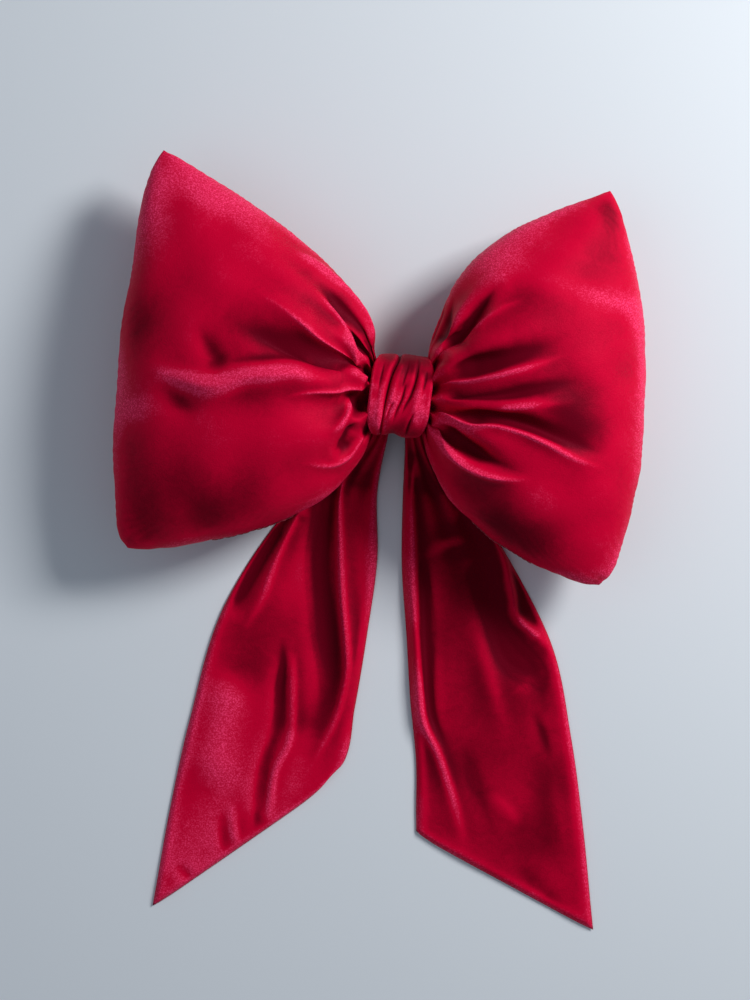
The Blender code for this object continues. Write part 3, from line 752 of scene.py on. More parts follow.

# %% The loops' nap and painted light
# The same for the nap: how far the pile is opened or closed, from -1 to 1. Narrow
# strokes on the folds' crests are painted highlight and those in their hollows painted
# shade; the broad ones are partly brushed pile and partly painted light and shade.
LOOP_NAP_AND_PAINTED_LIGHT = {
    "left": (
        (0.50, 12.0, 2.0, 0.3, 0.6, ((166, 146), (143, 127), (116, 113), (87, 96), (55, 74))),
        (0.50, 12.0, 2.0, 0.3, 0.5, ((160, 146), (162, 116), (160, 92), (157, 66))),
        (0.78, 6.3, 2.0, 0.4, 0.3, ((50, 8), (68, 10), (82, 6), (97, 3), (114, -3), (131, -2),
                                    (147, 2), (160, 9))),
        (0.45, 10.0, 2.0, 0.5, 0.5, ((182, 4), (176, -20), (160, -22), (135, -18))),
        (-0.42, 30.0, 2.0, 0.6, 0.6, ((185, -20), (168, -62), (140, -84), (95, -84), (40, -70))),
        (-0.30, 13.0, 2.0, 0.5, 0.5, ((174, 80), (172, 30), (166, -20))),
        (-0.18, 16.0, 2.0, 0.5, 0.5, ((125, 40), (95, 30), (40, 14))),
        (0.45, 2.4, 2.0, 0.2, 0.4, ((74, 85), (63, 80), (45, 67), (32, 55), (24, 42), (18, 26))),
        (-0.35, 4.5, 2.0, 0.3, 0.3, ((50, 66), (41, 58), (31, 42), (26, 29), (22, 17))),
        (0.35, 2.2, 2.0, 0.3, 0.4, ((57, 59), (46, 51), (39, 43), (35, 33), (30, 20))),
        (0.32, 2.4, 2.0, 0.2, 0.5, ((22, 15), (39, 23), (53, 30), (64, 38), (81, 49))),
        (-0.34, 7.0, 2.0, 0.3, 0.5, ((24, 9), (43, 15), (61, 21), (80, 29), (108, 38))),
        (0.35, 2.0, 2.0, 0.2, 0.5, ((21, 3), (34, 2), (42, -1), (57, -4), (69, -6))),
        (0.45, 2.2, 2.0, 0.3, 0.4, ((32, -2), (32, -13), (35, -21), (40, -28))),
        (0.45, 2.4, 2.0, 0.3, 0.5, ((24, -22), (26, -32), (32, -42), (42, -48), (58, -47))),
        (0.14, 16.0, 2.0, 0.5, 0.5, ((50, -20), (80, -30), (110, -36))),
    ),
    "right": (
        (0.55, 17.0, 2.0, 0.4, 0.5, ((28, 62), (50, 84), (70, 97), (106, 119))),
        (-0.30, 9.0, 2.0, 0.5, 0.5, ((108, 131), (124, 126), (133, 104))),
        (0.45, 8.0, 2.0, 0.4, 0.4, ((50, 84), (90, 76), (125, 68), (150, 56), (157, 25), (157, -20))),
        (0.38, 3.0, 2.0, 0.3, 0.4, ((22, 7), (39, 9), (59, 15), (78, 21), (93, 28))),
        (0.28, 3.0, 2.0, 0.4, 0.4, ((44, -9), (63, -7), (81, -2), (100, 1))),
        (0.34, 2.4, 2.0, 0.2, 0.3, ((19, -9), (32, -13), (45, -18), (60, -16), (76, -20), (93, -25),
                                    (111, -34), (126, -36))),
        (0.30, 1.9, 2.0, 0.2, 0.4, ((20, -12), (27, -26), (38, -38), (50, -45), (67, -48), (77, -47))),
        (-0.38, 27.0, 2.0, 0.6, 0.6, ((20, -45), (60, -82), (100, -100), (150, -100))),
        (-0.40, 8.0, 2.0, 0.3, 0.5, ((10, 15), (47, 22), (69, 29), (100, 40))),
        (-0.35, 5.0, 2.0, 0.2, 0.5, ((22, 0), (40, 0), (62, 3), (84, 9), (115, 17))),
        (-0.45, 7.0, 2.0, 0.3, 0.5, ((29, -9), (58, -11), (79, -14), (103, -21), (126, -26))),
        (-0.34, 12.0, 2.0, 0.5, 0.5, ((75, -6), (100, -12), (125, -18), (140, -22))),
        (-0.30, 4.0, 2.0, 0.3, 0.3, ((27, 66), (24, 52), (22, 38), (19, 29))),
        (-0.35, 4.5, 2.0, 0.3, 0.3, ((55, 73), (44, 58), (34, 42), (23, 28))),
        (-0.36, 20.0, 2.0, 0.5, 0.5, ((60, 6), (100, 4), (140, -4))),
        (-0.12, 24.0, 2.0, 0.5, 0.5, ((60, 40), (95, 42), (130, 30))),
        (0.16, 14.0, 2.0, 0.5, 0.5, ((55, -58), (85, -60), (120, -58))),
    ),
}
print("nap strokes:", {name: len(strokes) for name, strokes in LOOP_NAP_AND_PAINTED_LIGHT.items()})

# %% [markdown]
# ### Painted light on crests and hollows
#
# Crests are given painted highlight and hollows painted shade. On a crest the nap is
# raised towards the lit colour, and in a hollow it is lowered towards the deep one.
# Blender's Pointiness could tell the two apart, but it looks only at the nearest points
# and changes with how fine the mesh is. So each piece measures how far each point
# stands above its neighbours, over a few millimetres and then more widely, and adds
# that to its nap as painted light.

# %% Painted highlight and shade from the shape, added to the nap
CREASE_ROUNDS, CREASE_HEIGHT = 8, 0.00025    # rounds of averaging, and what counts as high
FOLD_ROUNDS, FOLD_HEIGHT = 60, 0.0022
NAP_OPEN = 1.2                   # fully open pile, where 0 is fully closed


def standing_out(mesh, points, normals, rounds):
    """How far each point stands out above its neighbours' average, repeated over rounds."""
    count = len(points)
    ends = np.empty(len(mesh.edges) * 2, np.int32)
    mesh.edges.foreach_get("vertices", ends)
    a, b = ends[::2], ends[1::2]
    number = np.bincount(a, minlength=count) + np.bincount(b, minlength=count)
    smooth = points.copy()
    for _ in range(rounds):
        total = np.empty_like(smooth)
        for k in range(3):
            total[:, k] = (np.bincount(a, weights=smooth[b, k], minlength=count)
                           + np.bincount(b, weights=smooth[a, k], minlength=count))
        smooth = total / number[:, None]
    return ((points - smooth) * normals).sum(axis=1)


def brush_nap_and_paint_light(piece, nap_and_painted_light, fine=0.24, wide=0.30):
    """Store a piece's nap with painted highlight on crests and painted shade in hollows, by tanh of each
    measure.
    """
    mesh = piece.data
    points, normals = mesh_points(mesh), mesh_points(mesh, normals=True)
    crease = standing_out(mesh, points, normals, CREASE_ROUNDS)
    fold = standing_out(mesh, points, normals, FOLD_ROUNDS)
    # painted highlight on crests and painted shade in hollows, added to the nap
    nap_and_painted_light = nap_and_painted_light + fine * np.tanh(crease / CREASE_HEIGHT) + wide * np.tanh(fold / FOLD_HEIGHT)
    nap_and_painted_light = np.clip(nap_and_painted_light, 0, NAP_OPEN)
    field = mesh.attributes.new("nap_and_painted_light", "FLOAT", "POINT")
    field.data.foreach_set("value", nap_and_painted_light)
    print(f"{piece.name}: nap from {nap_and_painted_light.min():.2f} to {nap_and_painted_light.max():.2f}")


# %% [markdown]
# ### From case to cushion
#
# The order matters. The case is stuffed while its mesh is coarse, because cloth is
# slow. Then it is rounded off, and only then are the folds pressed in, the seam sunk
# and puckered, the corners blunted and the underside flattened where it rests.

# %% Seams, corners and rest
SEAM_GROOVE = 0.0008             # the seam is pulled in this far between its two panels
PUCKER = 0.00018                 # the cloth's small waves beside the seam
PUCKER_STEP = 0.010
SEAM_WIDTH, PUCKER_WIDTH = 0.0014, 0.006
CORNER_DRAWN_IN = {-1: 0.0040, 1: 0.35 * 0.0040}     # the lower corner is blunted, the upper less
CORNER_WIDTH = 0.009
CUSHION_WAVES, WAVE_SIZE = 0.0006, 0.035


def read_fields(mesh, labels):
    """The named point attributes of a mesh as arrays, removed from it once read."""
    fields = []
    for label in labels:
        values = np.empty(len(mesh.vertices))
        mesh.attributes[label].data.foreach_get("value", values)
        mesh.attributes.remove(mesh.attributes[label])
        fields.append(values)
    return fields


def resting(height, floor=0.0002, soft=0.004):
    """Heights below soft pressed together above the floor, and others left alone."""
    pressed = floor + (soft - floor) * np.exp((height - soft) / (soft - floor))
    return np.where(height < soft, pressed, height)


low_points = np.array([1, 3, 5]) / 1000
print("heights of 1, 3 and 5 mm come to rest at, mm:", np.round(resting(low_points) * 1000, 2))


# %% Making a loop
def stuffed_loop(name):
    """A loop's cushion, and the points and shares along its lower seam.

    Folds and soft waves move the points along their normals. The corners are drawn in
    by exp(-d^2), the seam is a groove of the same form, and the puckers beside it are a
    sine that fades with the distance from the seam.
    """
    points, pattern, places, faces, seam, mouth = unstuffed_case(name)
    piece = new_piece(f"{name}_loop_cushion", points, faces, VELVET)
    points = stuff(piece, pattern, seam, mouth)
    piece.data.vertices.foreach_set("co", points.ravel())
    labels = ("along", "across", "panel")
    for k, label in enumerate(labels):
        field = piece.data.attributes.new(label, "FLOAT", "POINT")
        field.data.foreach_set("value", places[:, k])
    mesh = subdivide(piece, 2)
    along, across, panel = read_fields(mesh, labels)
    place, normal = mesh_points(mesh), mesh_points(mesh, normals=True)
    plan = np.column_stack([(place[:, 0] - KNOT[0]) * SIDES[name], place[:, 1] - KNOT[1]])
    front = smoothstep((panel + 0.2) / 0.8)
    place += normal * (stroke_sum(plan, LOOP_FOLDS[name]) / 1000 * front)[:, None]
    place += normal * (CUSHION_WAVES * soft_noise(place, 11 + len(name), WAVE_SIZE))[:, None]
    for end, amount in CORNER_DRAWN_IN.items():
        corner = plan[np.argmax(along + end * across)]
        inward = np.array([0.6 * corner[0], 0.0]) - corner
        inward /= np.linalg.norm(inward)
        pull = amount * np.exp(-(np.linalg.norm(plan - corner, axis=1) / CORNER_WIDTH) ** 2)
        place[:, :2] += pull[:, None] * inward * (SIDES[name], 1)
    reach, up, down = loop_size(name)
    from_seam = np.minimum((1 - np.abs(across)) * (up + down) / 2, (1 - along) * reach)
    pucker = np.sin(2 * math.pi * (plan.sum(axis=1) / PUCKER_STEP + soft_noise(plan, 5, 0.04, 8)))
    seam_relief = PUCKER * pucker * np.exp(-from_seam / PUCKER_WIDTH)
    seam_relief = seam_relief - SEAM_GROOVE * np.exp(-(from_seam / SEAM_WIDTH) ** 2)
    place += normal * (seam_relief * smoothstep((along - 0.1) / 0.1))[:, None]
    place[:, 2] = resting(place[:, 2])
    mesh.vertices.foreach_set("co", place.ravel())
    mesh.update()
    # nap with painted light: painted highlight on crests and painted shade in hollows, from the strokes and
    # from the shape
    nap_and_painted_light = 0.42 + 0.13 * soft_noise(place, 21 + len(name), 0.07) + front * stroke_sum(plan, LOOP_NAP_AND_PAINTED_LIGHT[name])
    brush_nap_and_paint_light(piece, nap_and_painted_light)
    size = (place.max(axis=0) - place.min(axis=0)) * 1000
    print(f"{name} loop: {len(place)} points, {np.round(size, 1)} mm")
    low_seam = np.flatnonzero(across < -1 + 1e-6)
    low_seam = low_seam[np.argsort(along[low_seam])]
    return piece, place[low_seam], along[low_seam]


# %% [markdown]
# ### The slip-stitched gap
#
# A loop is stuffed through a gap in its lower seam, which is closed last, by hand,
# with small stitches that cross from panel to panel. A dashed line in the finish could
# hint at them, but real thread catches the light, and it is only a tube on a zigzag.

# %% Thread
THREAD_RADIUS = 0.00035
THREAD_SIDES = 8


def thread_tube(name, route):
    """A round tube: circles square to a route's direction, closed at both ends."""
    ahead = np.gradient(route, axis=0)
    ahead /= np.linalg.norm(ahead, axis=1)[:, None]
    aside = np.cross(ahead, (0.2, 0.3, 1.0))
    aside /= np.linalg.norm(aside, axis=1)[:, None]
    above = np.cross(aside, ahead)
    turn = np.linspace(0, 2 * math.pi, THREAD_SIDES, endpoint=False)[None, :, None]
    circle = aside[:, None] * np.cos(turn) + above[:, None] * np.sin(turn)
    rings = route[:, None] + THREAD_RADIUS * circle
    numbers = np.arange(len(route) * THREAD_SIDES).reshape(-1, THREAD_SIDES)
    beside = np.roll(numbers, -1, axis=1)
    quads = np.stack([n.ravel() for n in (numbers[:-1], numbers[1:], beside[1:], beside[:-1])], axis=1)
    caps = [numbers[0].tolist(), numbers[-1][::-1].tolist()]
    return new_piece(name, rings.reshape(-1, 3), quads.tolist() + caps, THREAD)


print("thread, mm across:", 2 * THREAD_RADIUS * 1000)

# %% The closing stitches
GAP_SHARE = (0.42, 0.70)         # where the gap begins and ends along the lower seam
STITCHES = 13
STITCH_STEPS = 12                # points on the route for each stitch
STITCH_HEIGHT = 0.0011
STITCH_SQUARE = 2.5              # a higher number gives squarer turns
STITCH_OUT, STITCH_BOW = 0.0003, 0.0003


def closing_thread(name, seam, share):
    """A thread along part of a seam: tanh of a cosine, up and down, and |sine| outward."""
    station = np.linspace(*GAP_SHARE, STITCHES * STITCH_STEPS + 1)
    route = np.column_stack([np.interp(station, share, seam[:, k]) for k in range(3)])
    beat = math.pi * np.linspace(0, STITCHES, len(station))
    away = np.cross(np.gradient(route, axis=0), (0, 0, SIDES[name]))
    away /= np.linalg.norm(away, axis=1)[:, None]
    route = route + away * (STITCH_OUT + STITCH_BOW * np.abs(np.sin(beat)))[:, None]
    route[:, 2] += STITCH_HEIGHT * np.tanh(STITCH_SQUARE * np.cos(beat)) / math.tanh(STITCH_SQUARE)
    return thread_tube(f"{name}_loop_closing_thread", route)


print("stitches in a gap:", STITCHES)

# %% [markdown]
# ### Onto the bodies
#
# A cushion is one case of cloth, but its mouth is held by the knot while its belly
# moves with the loop. It could ride on the loop alone, and would then tear away from
# the knot as it folds. Here it rides on no body; only its closing thread rides on the loop.

# %% Both loops
FOLD_BEGINS, FOLD_ENDS = 0.001, 0.040       # where the cloth would bend, out from the mouth; nothing bends it here
for name, side in SIDES.items():
    cushion, low_seam, share = stuffed_loop(name)
    thread = closing_thread(name, low_seam, share)
    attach(thread, f"{name}_loop")
    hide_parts(f"{name}_loop_closing_stitches")
    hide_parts(*(f"{name}_loop_{part}" for part in ("front_panel", "back_panel", "filling")))
    fold = JOINTS[f"{name}_loop_fold"]["pos_m"]
    finish = (KNOT[0] + side * (NECK_X + FOLD_ENDS), fold[1], fold[2])
    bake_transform(cushion)
    print(cushion.name, "and", thread.name, "are on", f"{name}_loop")

# %% [markdown]
# ## The knot band
#
# The band is a strip of velvet wrapped once round the gathered waist and sewn at the
# back. It is wider than it looks: the spare width stands in slanted folds that lean
# from the upper right to the lower left, and its edges are rolled in.
#
# It could be simulated like the loops, but it is pulled tight, and tight cloth has few
# and sharp creases. So it is a ring worked out by formula, with strokes for creases.

# %% The band's creases
# Creases as strokes: depth, width (mm), sharpness, fades, path (right, up) in mm.
BAND_CREASES = (
    (-3.2, 1.0, 1.2, 0.1, 0.1, ((-1.5, 30), (-2.5, 23), (-5.7, 14), (-7.9, 3), (-9.4, -9),
                                (-10.2, -19), (-11, -30))),
    (-2.6, 1.0, 1.2, 0.4, 0.4, ((10.6, 27), (9.8, 17), (9, 9), (6.8, 0), (3.5, -8), (1.0, -15))),
    (-1.9, 0.8, 1.2, 0.3, 0.4, ((3.2, 8), (1.2, -3), (-1.6, -11), (-4.0, -20))),
    (-1.5, 0.8, 1.2, 0.3, 0.4, ((-3.6, -4), (-6.4, -11), (-8.6, -19))),
    (-0.9, 0.9, 1.3, 0.4, 0.4, ((16, 17), (15, 8), (13.0, -2))),
    (-0.8, 0.8, 1.3, 0.4, 0.4, ((-11, 21), (-13, 9), (-14.5, -2))),
    (-0.8, 0.8, 1.3, 0.4, 0.4, ((4.5, 24), (2.5, 13), (0.5, 2))),
    (-1.3, 1.0, 1.3, 0.3, 0.3, ((10, -9), (7, -18), (5, -27))),
    (0.7, 2.0, 1.8, 0.2, 0.2, ((-5, 22), (-9, 12), (-11.5, 2), (-13, -9), (-14, -22))),
    (0.8, 1.8, 1.8, 0.2, 0.2, ((1.5, 22), (-2, 12), (-4.5, 0), (-6, -8))),
    (0.9, 2.4, 1.8, 0.2, 0.2, ((13, 16), (12, 4), (9.5, -8), (8, -20))),
)
# Nap strokes: painted highlight along the raised folds, and painted shade over the band's top and in two
# creases.
BAND_NAP_AND_PAINTED_LIGHT = (
    (0.60, 5.0, 2.0, 0.5, 0.3, ((-13, 14), (-15, -4), (-14, -14), (-12, -28))),
    (0.50, 3.0, 2.0, 0.5, 0.3, ((-1, 12), (-4, -3), (-7, -17))),
    (0.60, 4.0, 2.0, 0.5, 0.3, ((12, 10), (13, -6), (11, -24))),
    (-0.50, 13.0, 2.0, 0.5, 0.5, ((30, 24), (4, 22), (-26, 24))),
    (-0.20, 7.0, 2.0, 0.5, 0.5, ((20, 18), (16, 6))),
    (-0.25, 6.0, 2.0, 0.5, 0.4, ((5, -10), (3, -28))),
)
print("band:", len(BAND_CREASES), "creases and", len(BAND_NAP_AND_PAINTED_LIGHT), "nap strokes")

# %% The band's ring
BAND_THICK = 0.0042
BAND_ROUNDNESS = 2.5             # 2 is an ellipse, and more is squarer
BAND_ROWS, BAND_COLUMNS = 90, 190
BAND_NARROWER = 0.19             # the turns are narrower than the front by this share
BAND_EDGE = 0.08                 # the rolled edge takes this share of half the width
SIDE_SPARE, TOP_SPARE, FRONT_SPARE = 0.0008, 0.0006, -0.0002      # inside the frame's band
BAND_LEAN = 0.0012               # its top leans this far to one side, its bottom to the other
NOTCH_AT, NOTCH_WIDTH, NOTCH_DEPTH = -0.002, 0.0045, 0.09         # a dip in its lower turn


def band_ring(rows, columns):
    """The band without creases: a superellipse round its neck, narrower where it turns.

    Its girth shrinks by the fifth power towards its edges, and the dip is exp(-d^2).
    """
    turn = np.linspace(0, 2 * math.pi, columns, endpoint=False)[None, :]
    s = np.linspace(-1, 1, rows)[:, None]
    power = 2 / BAND_ROUNDNESS
    up = np.sign(np.cos(turn)) * np.abs(np.cos(turn)) ** power
    out = np.sign(np.sin(turn)) * np.abs(np.sin(turn)) ** power
    width = (BAND_HALF[0] - SIDE_SPARE) * (1 - BAND_NARROWER * np.abs(up) ** 6)
    swell = 1 - 0.04 * np.abs(s) ** 5
    notch = np.exp(-((s * width - NOTCH_AT) / NOTCH_WIDTH) ** 2) * np.clip(-up, 0, 1) ** 4
    lobes = 1 - NOTCH_DEPTH * notch
    middle = (band_low[2] + band_high[2]) / 2 - KNOT[2]
    y = up * (BAND_HALF[1] - TOP_SPARE) * swell * lobes
    z = middle + out * (BAND_HALF[2] - FRONT_SPARE) * swell
    return np.dstack([s * width + BAND_LEAN * up, y, z])


middle_ring = band_ring(3, BAND_COLUMNS)[1, :, 1:]
girth = np.linalg.norm(middle_ring - np.roll(middle_ring, 1, axis=0), axis=1).sum()
print("girth of the band, mm:", round(girth * 1000))


# %% The ruched band
def knot_band():
    """The outer surface and an inner one, joined at half-round edges."""
    rows, columns = BAND_ROWS, BAND_COLUMNS
    ring = band_ring(rows, columns)
    across = ring[..., 1:] / np.linalg.norm(ring[..., 1:], axis=-1)[..., None]
    front = 0.35 + 0.65 * smoothstep((ring[..., 2] + 0.006) / 0.012)
    relief = stroke_sum(ring[..., :2], BAND_CREASES) / 1000 * front
    relief += 0.0002 * soft_noise(ring, 31, 0.012)
    ring[..., 1:] += across * relief[..., None]
    edge = np.clip((np.abs(np.linspace(-1, 1, rows)) - (1 - BAND_EDGE)) / BAND_EDGE, 0, 1)
    roll = (1 - np.sqrt(1 - edge ** 2))[:, None, None] * BAND_THICK / 2
    outside, inside = ring.copy(), ring.copy()
    outside[..., 1:] -= across * roll
    inside[..., 1:] -= across * (BAND_THICK - roll)
    points = np.concatenate([outside, inside[1:-1][::-1]]) + KNOT
    numbers = np.arange(points.shape[0] * columns).reshape(-1, columns)
    ahead, beside = np.roll(numbers, -1, axis=0), np.roll(numbers, -1, axis=1)
    corners = (numbers, beside, np.roll(ahead, -1, axis=1), ahead)
    faces = np.stack([corner.ravel() for corner in corners], axis=1)
    points = points.reshape(-1, 3)
    piece = new_piece("knot_band_ruched", points, turned_out(points, faces), VELVET)
    # nap with painted highlight on the folds and painted shade in the creases
    nap_and_painted_light = 0.38 + 0.05 * soft_noise(points, 33, 0.02) + stroke_sum((points - KNOT)[:, :2], BAND_NAP_AND_PAINTED_LIGHT)
    brush_nap_and_paint_light(piece, nap_and_painted_light, fine=0.35, wide=0.10)
    return piece


band = knot_band()
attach(band, "knot")
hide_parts("knot_band")
print("band:", len(band.data.vertices), "points")

# %% [markdown]
# ## The gathered waist
#
# Inside the band the two loops' mouths meet as one bundle of pleats, bound with
# thread. It is hardly seen, but it fills the band when a loop folds forward. A plain
# block would do that too and would look like one, so its radius ripples as pleats do.

# %% Waist
WAIST_ROWS, WAIST_COLUMNS = 24, 140
WAIST_PLEATS = 17
WAIST_RIPPLE = 0.045             # the pleats' depth as a share of the radius


def waist_bundle():
    """A short pleated tube: a superellipse with a rippled radius, closed by two domes."""
    low, high = (np.array(corner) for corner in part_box("waist_pleats"))
    half = (high - low) / 2
    rows, columns = WAIST_ROWS, WAIST_COLUMNS
    turn = np.linspace(0, 2 * math.pi, columns, endpoint=False)[None, :]
    s = np.linspace(-1, 1, rows)[:, None]
    end = np.sqrt(np.clip(1 - np.abs(s) ** 8, 0, 1))
    waist = 0.86 + 0.08 * s ** 2
    ripple = 1 + WAIST_RIPPLE * np.cos(WAIST_PLEATS * turn + 1.2 * np.sin(2 * turn)) * end
    radius = ripple * waist * np.maximum(end, 0.02)
    y = half[1] * radius * np.sign(np.cos(turn)) * np.abs(np.cos(turn)) ** 0.8
    z = half[2] * radius * np.sign(np.sin(turn)) * np.abs(np.sin(turn)) ** 0.8
    x = s * (NECK_X - 0.0022) + 0 * turn
    middle = (low + high) / 2
    rings = np.dstack([x, y, z]).reshape(-1, 3)
    poles = np.array([(x[0, 0] - 0.0002, 0, 0), (x[-1, 0] + 0.0002, 0, 0)])
    points = np.concatenate([rings, poles]) + middle
    numbers = np.arange(rows * columns).reshape(rows, columns)
    beside = np.roll(numbers, -1, axis=1)
    quads = np.stack([c.ravel() for c in (numbers[:-1], beside[:-1], beside[1:], numbers[1:])], axis=1)
    near_pole, far_pole = rows * columns, rows * columns + 1
    near_dome = [(b, a, near_pole) for a, b in zip(numbers[0].tolist(), beside[0].tolist())]
    far_dome = [(a, b, far_pole) for a, b in zip(numbers[-1].tolist(), beside[-1].tolist())]
    piece = new_piece("waist_bundle", points, quads.tolist() + near_dome + far_dome, VELVET)
    # the nap, with painted highlight on the pleats' crests and painted shade between them
    brush_nap_and_paint_light(piece, np.full(len(points), 0.35))
    return piece


waist = waist_bundle()
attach(waist, "knot")
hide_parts("waist_pleats")
print("waist:", WAIST_PLEATS, "pleats")

# %% [markdown]
# ## The tails
#
# Each tail is a strip of doubled velvet, turned right side out and cut on the slant
# at its end. Its head is gathered to a finger's width and sewn behind the knot, so
# long folds start there and die out towards the hem.
#
# Draping a strip by simulation would give folds, but not these ones. A tail that lies
# flat is nearly a drawing, so it is an outline with heights over it: strokes again.

# %% Tail outlines and folds
# Outlines as (out, down) points in mm; folds and nap as strokes along (out, down) paths,
# where the nap strokes are partly painted highlight on fold crests and painted shade in
# fold hollows.
TAILS = {
    "left": {
        "corner": 258, "tip": 346, "open": 0.36, "hem_round": (5.0, 1.4),
        "outer": ((20, 10), (20, 20), (66, 74), (104, 140), (123, 220), (132, 280), (139, 346)),
        "inner": ((4, 10), (5, 20), (10, 60), (7, 107), (10, 153), (15, 205), (20, 242), (29, 258)),
        "folds": (
            (7.0, 4.0, 1.2, 0.05, 0.4, ((22, 28), (34, 62), (32, 98), (28, 134), (24, 160), (22, 182),
                                        (26, 208), (35, 232), (45, 254))),
            (-4.2, 7.0, 1.8, 0.1, 0.4, ((38, 52), (46, 75), (46, 111), (40, 151), (34, 190), (44, 232))),
            (6.0, 5.0, 1.3, 0.05, 0.5, ((30, 40), (52, 64), (62, 82), (74, 113), (82, 140), (94, 165))),
            (-4.5, 6.0, 1.8, 0.1, 0.4, ((62, 74), (74, 90), (92, 124), (102, 152))),
            (-3.4, 3.6, 1.5, 0.45, 0.15, ((66, 160), (64, 178), (65, 195), (65, 222), (72, 250), (75, 292))),
            (2.0, 3.0, 1.5, 0.2, 0.2, ((60, 168), (57, 195), (56, 228), (65, 253), (67, 290))),
            (1.2, 3.2, 1.8, 0.6, 0.3, ((92, 268), (89, 288), (86, 303))),
            (-1.1, 3.0, 1.8, 0.6, 0.3, ((98, 274), (96, 292), (94, 306))),
            (-1.3, 3.0, 1.8, 0.5, 0.5, ((126, 314), (118, 322), (111, 330))),
            (2.5, 14.0, 2.0, 0.3, 0.3, ((96, 180), (102, 225), (108, 270))),
        ),
        "nap_and_painted_light": (
            (0.40, 22.0, 2.0, 0.2, 0.1, ((95, 180), (95, 230), (105, 290), (128, 330))),
            (0.35, 14.0, 2.0, 0.2, 0.1, ((52, 215), (52, 250), (70, 285))),
            (0.28, 9.0, 2.0, 0.3, 0.5, ((20, 50), (20, 75), (18, 100), (16, 130), (15, 160))),
            (-0.40, 8.0, 2.0, 0.5, 0.4, ((8, 120), (14, 170), (18, 210), (22, 240))),
            (0.20, 12.0, 2.0, 0.4, 0.5, ((56, 90), (64, 120), (72, 150))),
            (-0.18, 7.0, 2.0, 0.1, 0.3, ((48, 72), (46, 111), (38, 151), (34, 190))),
            (-0.28, 7.0, 2.0, 0.1, 0.3, ((72, 88), (88, 118), (100, 150))),
        ),
    },
    "right": {
        "corner": 286, "tip": 341, "open": 0.22, "hem_round": (2.6, 0.8),
        "outer": ((20, 10), (20, 20), (64, 78), (88, 113), (110, 151), (129, 216), (141, 275), (152, 341)),
        "inner": ((4, 10), (5, 20), (7, 70), (9, 106), (16, 158), (21, 197), (28, 240), (30, 270), (31, 286)),
        "folds": (
            (5.5, 4.0, 1.3, 0.05, 0.4, ((12, 35), (13, 68), (15, 90), (18, 127), (23, 162), (27, 193),
                                        (31, 212), (42, 232), (54, 261), (66, 296))),
            (-4.0, 4.0, 1.6, 0.2, 0.4, ((22, 100), (26, 130), (30, 172), (35, 205), (48, 230))),
            (6.0, 4.5, 1.2, 0.1, 0.35, ((42, 55), (64, 76), (74, 93), (83, 122), (87, 137), (103, 151),
                                        (112, 160))),
            (-5.0, 5.0, 1.6, 0.1, 0.4, ((72, 80), (84, 105), (93, 132), (104, 147))),
            (-4.0, 9.0, 1.8, 0.1, 0.4, ((60, 100), (70, 135), (84, 162), (104, 177), (112, 210))),
            (2.0, 7.0, 1.8, 0.7, 0.5, ((56, 130), (66, 160), (77, 190), (91, 228))),
            (1.3, 5.0, 1.8, 0.5, 0.5, ((20, 104), (40, 92), (64, 88))),
            (-0.9, 4.0, 1.6, 0.5, 0.5, ((102, 196), (110, 214), (117, 232))),
            (1.0, 5.0, 1.8, 0.5, 0.5, ((74, 254), (88, 264), (101, 277))),
            (-1.5, 8.0, 1.8, 0.5, 0.4, ((92, 296), (114, 314), (140, 336))),
            (-1.2, 7.0, 1.8, 0.5, 0.5, ((56, 215), (68, 250), (88, 290))),
            (0.8, 8.0, 1.8, 0.5, 0.5, ((114, 222), (124, 265), (138, 310))),
        ),
        "nap_and_painted_light": (
            (0.25, 3.5, 2.0, 0.4, 0.2, ((13, 60), (15, 90), (18, 127), (22, 155))),
            (0.50, 3.2, 2.0, 0.2, 0.2, ((23, 162), (27, 193), (31, 212), (42, 232), (54, 261), (66, 296))),
            (0.35, 4.0, 2.0, 0.2, 0.2, ((87, 137), (103, 151))),
            (0.20, 3.0, 2.0, 0.2, 0.2, ((112, 155), (129, 216), (141, 275), (151, 335))),
            (-0.35, 12.0, 2.0, 0.1, 0.3, ((45, 70), (62, 110), (80, 150), (104, 177))),
            (-0.12, 12.0, 2.0, 0.5, 0.5, ((108, 205), (118, 250), (124, 300))),
        ),
    },
}
print("tail folds:", {name: len(tail["folds"]) for name, tail in TAILS.items()})

# %% Sizes of the tails
TAIL_ROWS, TAIL_COLUMNS = 210, 76
TAIL_THICK, EDGE_THICK = 0.0030, 0.0002
SIDE_EDGE, HEM_EDGE = 0.06, 0.012            # shares of the width and length that a sewn edge takes
HEM_TURN = 0.055                 # how far along the hem its rounded corners reach, as a share
HEAD_TOP = 0.0105
FALL = (0.020, 0.060)            # the tail comes down to the floor between these
FLOOR_GAP = 0.0002
TAIL_PLEAT, TAIL_PLEATS, PLEAT_FADE = 0.0016, 3.5, 0.05      # depth, number, and distance
TAIL_WAVE, TAIL_WAVE_SIZE = 0.0004, 0.055
HEAD_GAP = 0.0002                # between the sewn head and the band's back
HEAD_LOW_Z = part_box("left_tail_head_stitches")[0][2] + 0.0015
HEAD_THICK = band_low[2] - HEAD_GAP - HEAD_LOW_Z
HEAD_BOUND = (0.0155, 0.0030)    # the thread is this far down, and draws the head in so widely
HEAD_PINCH = 0.16                # and draws it in by this share
HEAD_TURNS = 4
HEAD_MIDDLE, HEAD_HALF = 0.0120, 0.0082      # the head's middle and half width, out from the knot
HEAD_HUG = 0.42                  # the thread's half height as a share of the head's thickness
THREAD_PITCH = 2.2 * THREAD_RADIUS
print("thickness of a gathered head, mm:", round(HEAD_THICK * 1000, 1))


